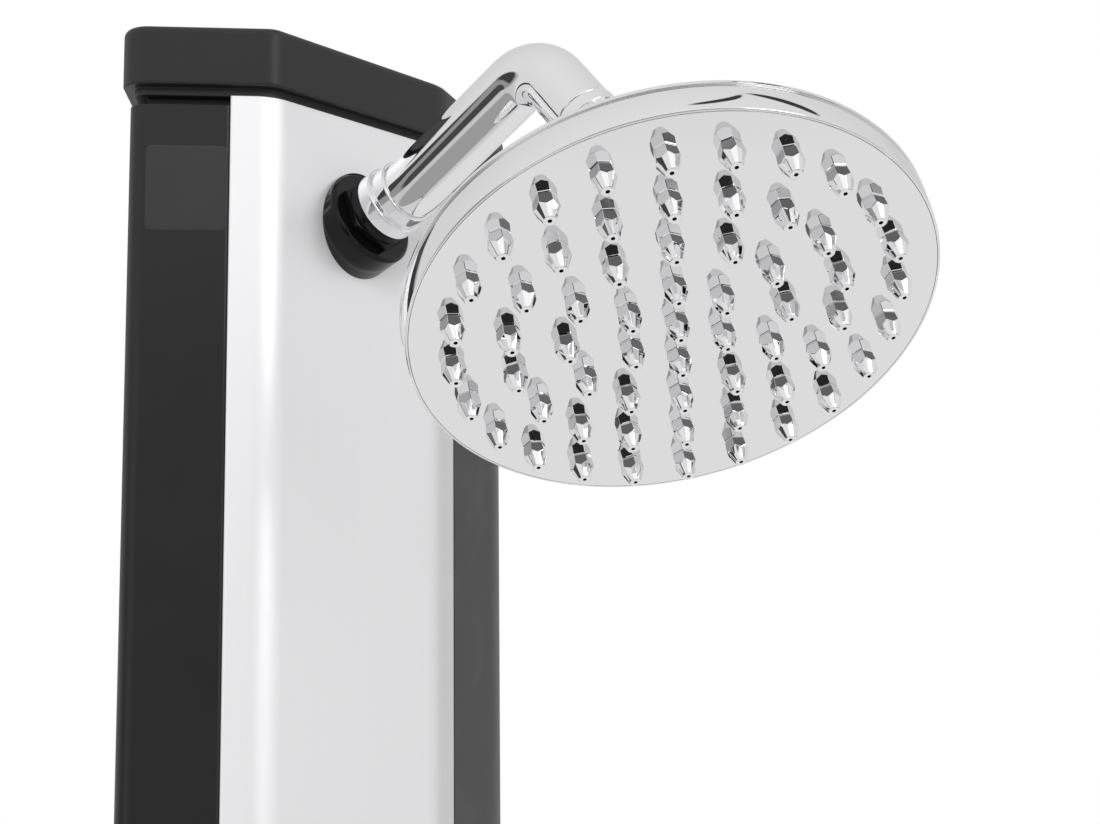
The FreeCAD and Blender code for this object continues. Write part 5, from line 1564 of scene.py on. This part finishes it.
@dataclass
class Studio:
    """Floor, white surroundings, soft lamps and the camera."""

    camera_place: tuple[float, float, float] = (0.025, -0.6252, 1.9733)
    yaw: float = 5.154
    pitch: float = 7.557
    roll: float = 0.527
    focal_pixels: float = 1718.0
    image_width: float = 1100.0
    sensor: float = 36.0
    nearest: float = 0.01
    floor_size: float = 5.0
    floor_colour: Colour = (0.82, 0.82, 0.825)
    floor_roughness: float = 0.9
    ambient: float = 0.3
    wall_tone: float = 0.78
    rear_tone: float = 0.68
    wall_depth: tuple[float, float] = (-0.5, 0.5)
    ground_tone: float = 0.58
    rear_ground_tone: float = 0.76
    ground_depth: tuple[float, float] = (0.02, 0.18)
    horizon: tuple[float, float] = (-0.45, 0.0)
    panels: tuple[Panel, ...] = (
        # Lamp box above the camera, and a strip light for the column's front bend
        Panel(15.0, 29.0, 28.0, 8.0, 1.0),
        Panel(41.0, 20.0, 10.0, 14.0, 3.2),
        # Dark flags in front and below
        Panel(18.0, -19.0, 40.0, 8.5, 0.13),
        Panel(-5.0, 2.0, 27.0, 8.0, 0.02),
        Panel(49.0, -24.0, 11.0, 8.0, 0.15),
        Panel(-54.0, -58.0, 10.0, 24.0, 0.34),
        # Grey flag on the left with two dark edges
        Panel(-73.0, -8.0, 16.0, 18.0, 0.3),
        Panel(-82.0, -4.0, 5.0, 14.0, 0.05),
        Panel(-65.0, -12.0, 5.0, 13.0, 0.06),
        # Grey flags on the right and behind
        Panel(77.0, 8.0, 8.0, 7.0, 0.35),
        Panel(138.0, 2.0, 16.0, 25.0, 0.62),
        Panel(-152.0, 12.0, 12.0, 9.0, 0.33),
        # Two thin dark bars overhead
        Panel(97.0, 58.5, 2.4, 8.5, 0.04),
        Panel(50.0, 71.5, 9.5, 1.4, 0.04),
    )
    lamps: tuple[Lamp, ...] = (
        Lamp("front_softbox", (-0.65, -2.4, 2.5), (0.0, 0.0, 1.85), (1.4, 2.0), 66.0),
        Lamp("right_softbox", (2.2, -0.6, 1.9), (0.0, 0.0, 1.6), (1.2, 2.2), 5.0),
    )

    def build(self) -> None:
        """Builds the floor, the world, the lamps and the camera."""
        bpy.context.scene.view_settings.view_transform = "Standard"
        self.build_floor()
        self.build_world()
        for lamp in self.lamps:
            lamp.build()
        self.build_camera()

    def build_floor(self) -> None:
        """Builds the pale floor. Mirrors look through it at the world's own ground."""
        half = self.floor_size / 2
        grid = np.stack(np.meshgrid([-half, half], [-half, half]) + [np.zeros((2, 2))], axis=-1)
        floor = mesh_from("floor", [Patch(grid, wrap_columns=False)], Shading.FACETED)
        made = bpy.data.materials.new("pale_floor")
        made.use_nodes = True
        graph = Graph(made.node_tree)
        inputs = {"Base Color": self.floor_colour + (1.0,), "Roughness": self.floor_roughness}
        matt = graph.add("ShaderNodeBsdfPrincipled", inputs)
        graph.add("ShaderNodeOutputMaterial", {"Surface": matt.outputs[0]})
        floor.visible_glossy = False
        floor.data.materials.append(made)

    def build_world(self) -> None:
        """Builds the surroundings: white to the camera, and to mirrors pale walls with a few panels."""
        world = bpy.data.worlds.new("studio")
        bpy.context.scene.world = world
        world.use_nodes = True
        world.cycles.sampling_method = "NONE"
        graph = Graph(world.node_tree)
        seen = graph.add("ShaderNodeLightPath")
        direction = graph.add("ShaderNodeTexCoord").outputs["Generated"]
        depth = graph.dot(direction, (0.0, 1.0, 0.0))
        walls = graph.remap(depth, *self.wall_depth, self.wall_tone, self.rear_tone)
        ground = graph.remap(depth, *self.ground_depth, self.ground_tone, self.rear_ground_tone)
        mirrored = graph.remap(graph.dot(direction, UP), *self.horizon, ground, walls)
        for panel in self.panels:
            mirrored = panel.wire(graph, direction, mirrored)
        glossy = graph.math("MAXIMUM", seen.outputs["Is Glossy Ray"], seen.outputs["Is Transmission Ray"])
        plain = graph.fade(glossy, self.ambient, mirrored)
        tone = graph.fade(seen.outputs["Is Camera Ray"], plain, 1.0)
        background = graph.add("ShaderNodeBackground", {"Color": (1.0, 1.0, 1.0, 1.0), "Strength": tone})
        graph.add("ShaderNodeOutputWorld", {"Surface": background.outputs[0]})

    def build_camera(self) -> None:
        """Builds the camera from its heading, pitch and roll."""
        yaw, pitch, roll = np.radians([self.yaw, self.pitch, self.roll])
        forward = np.array([np.sin(yaw) * np.cos(pitch), np.cos(yaw) * np.cos(pitch), np.sin(pitch)])
        side = np.array([np.cos(yaw), -np.sin(yaw), 0.0])
        up = np.cos(roll) * np.cross(side, forward) + np.sin(roll) * side
        data = bpy.data.cameras.new("studio_camera")
        data.sensor_fit = "HORIZONTAL"
        data.sensor_width = self.sensor
        data.lens = self.focal_pixels / self.image_width * self.sensor
        data.clip_start = self.nearest
        camera = bpy.data.objects.new("studio_camera", data)
        camera.matrix_world = looking(np.array(self.camera_place), forward, up)
        bpy.context.scene.collection.objects.link(camera)
        bpy.context.scene.camera = camera


def dress_solids() -> None:
    """Gives every solid of the model the procedural finish of its slot."""
    for name, slot in SLOTS.items():
        mesh = frame["nodes"][name].data
        mesh.materials.clear()
        mesh.materials.append(SOLID_FINISHES[slot].material())
        log.info("%s wears %s", name, SOLID_FINISHES[slot].name)


def main() -> None:
    """Dresses the solids, builds each sub-assembly in order and sets the studio."""
    logging.basicConfig(level=logging.INFO, format="%(name)s: %(message)s")
    dress_solids()
    for assembly in (Column(), Arm(), RainHead(), Mixer(), FootTap(), Fittings(), Studio()):
        assembly.build()


if __name__ == "__main__":
    main()
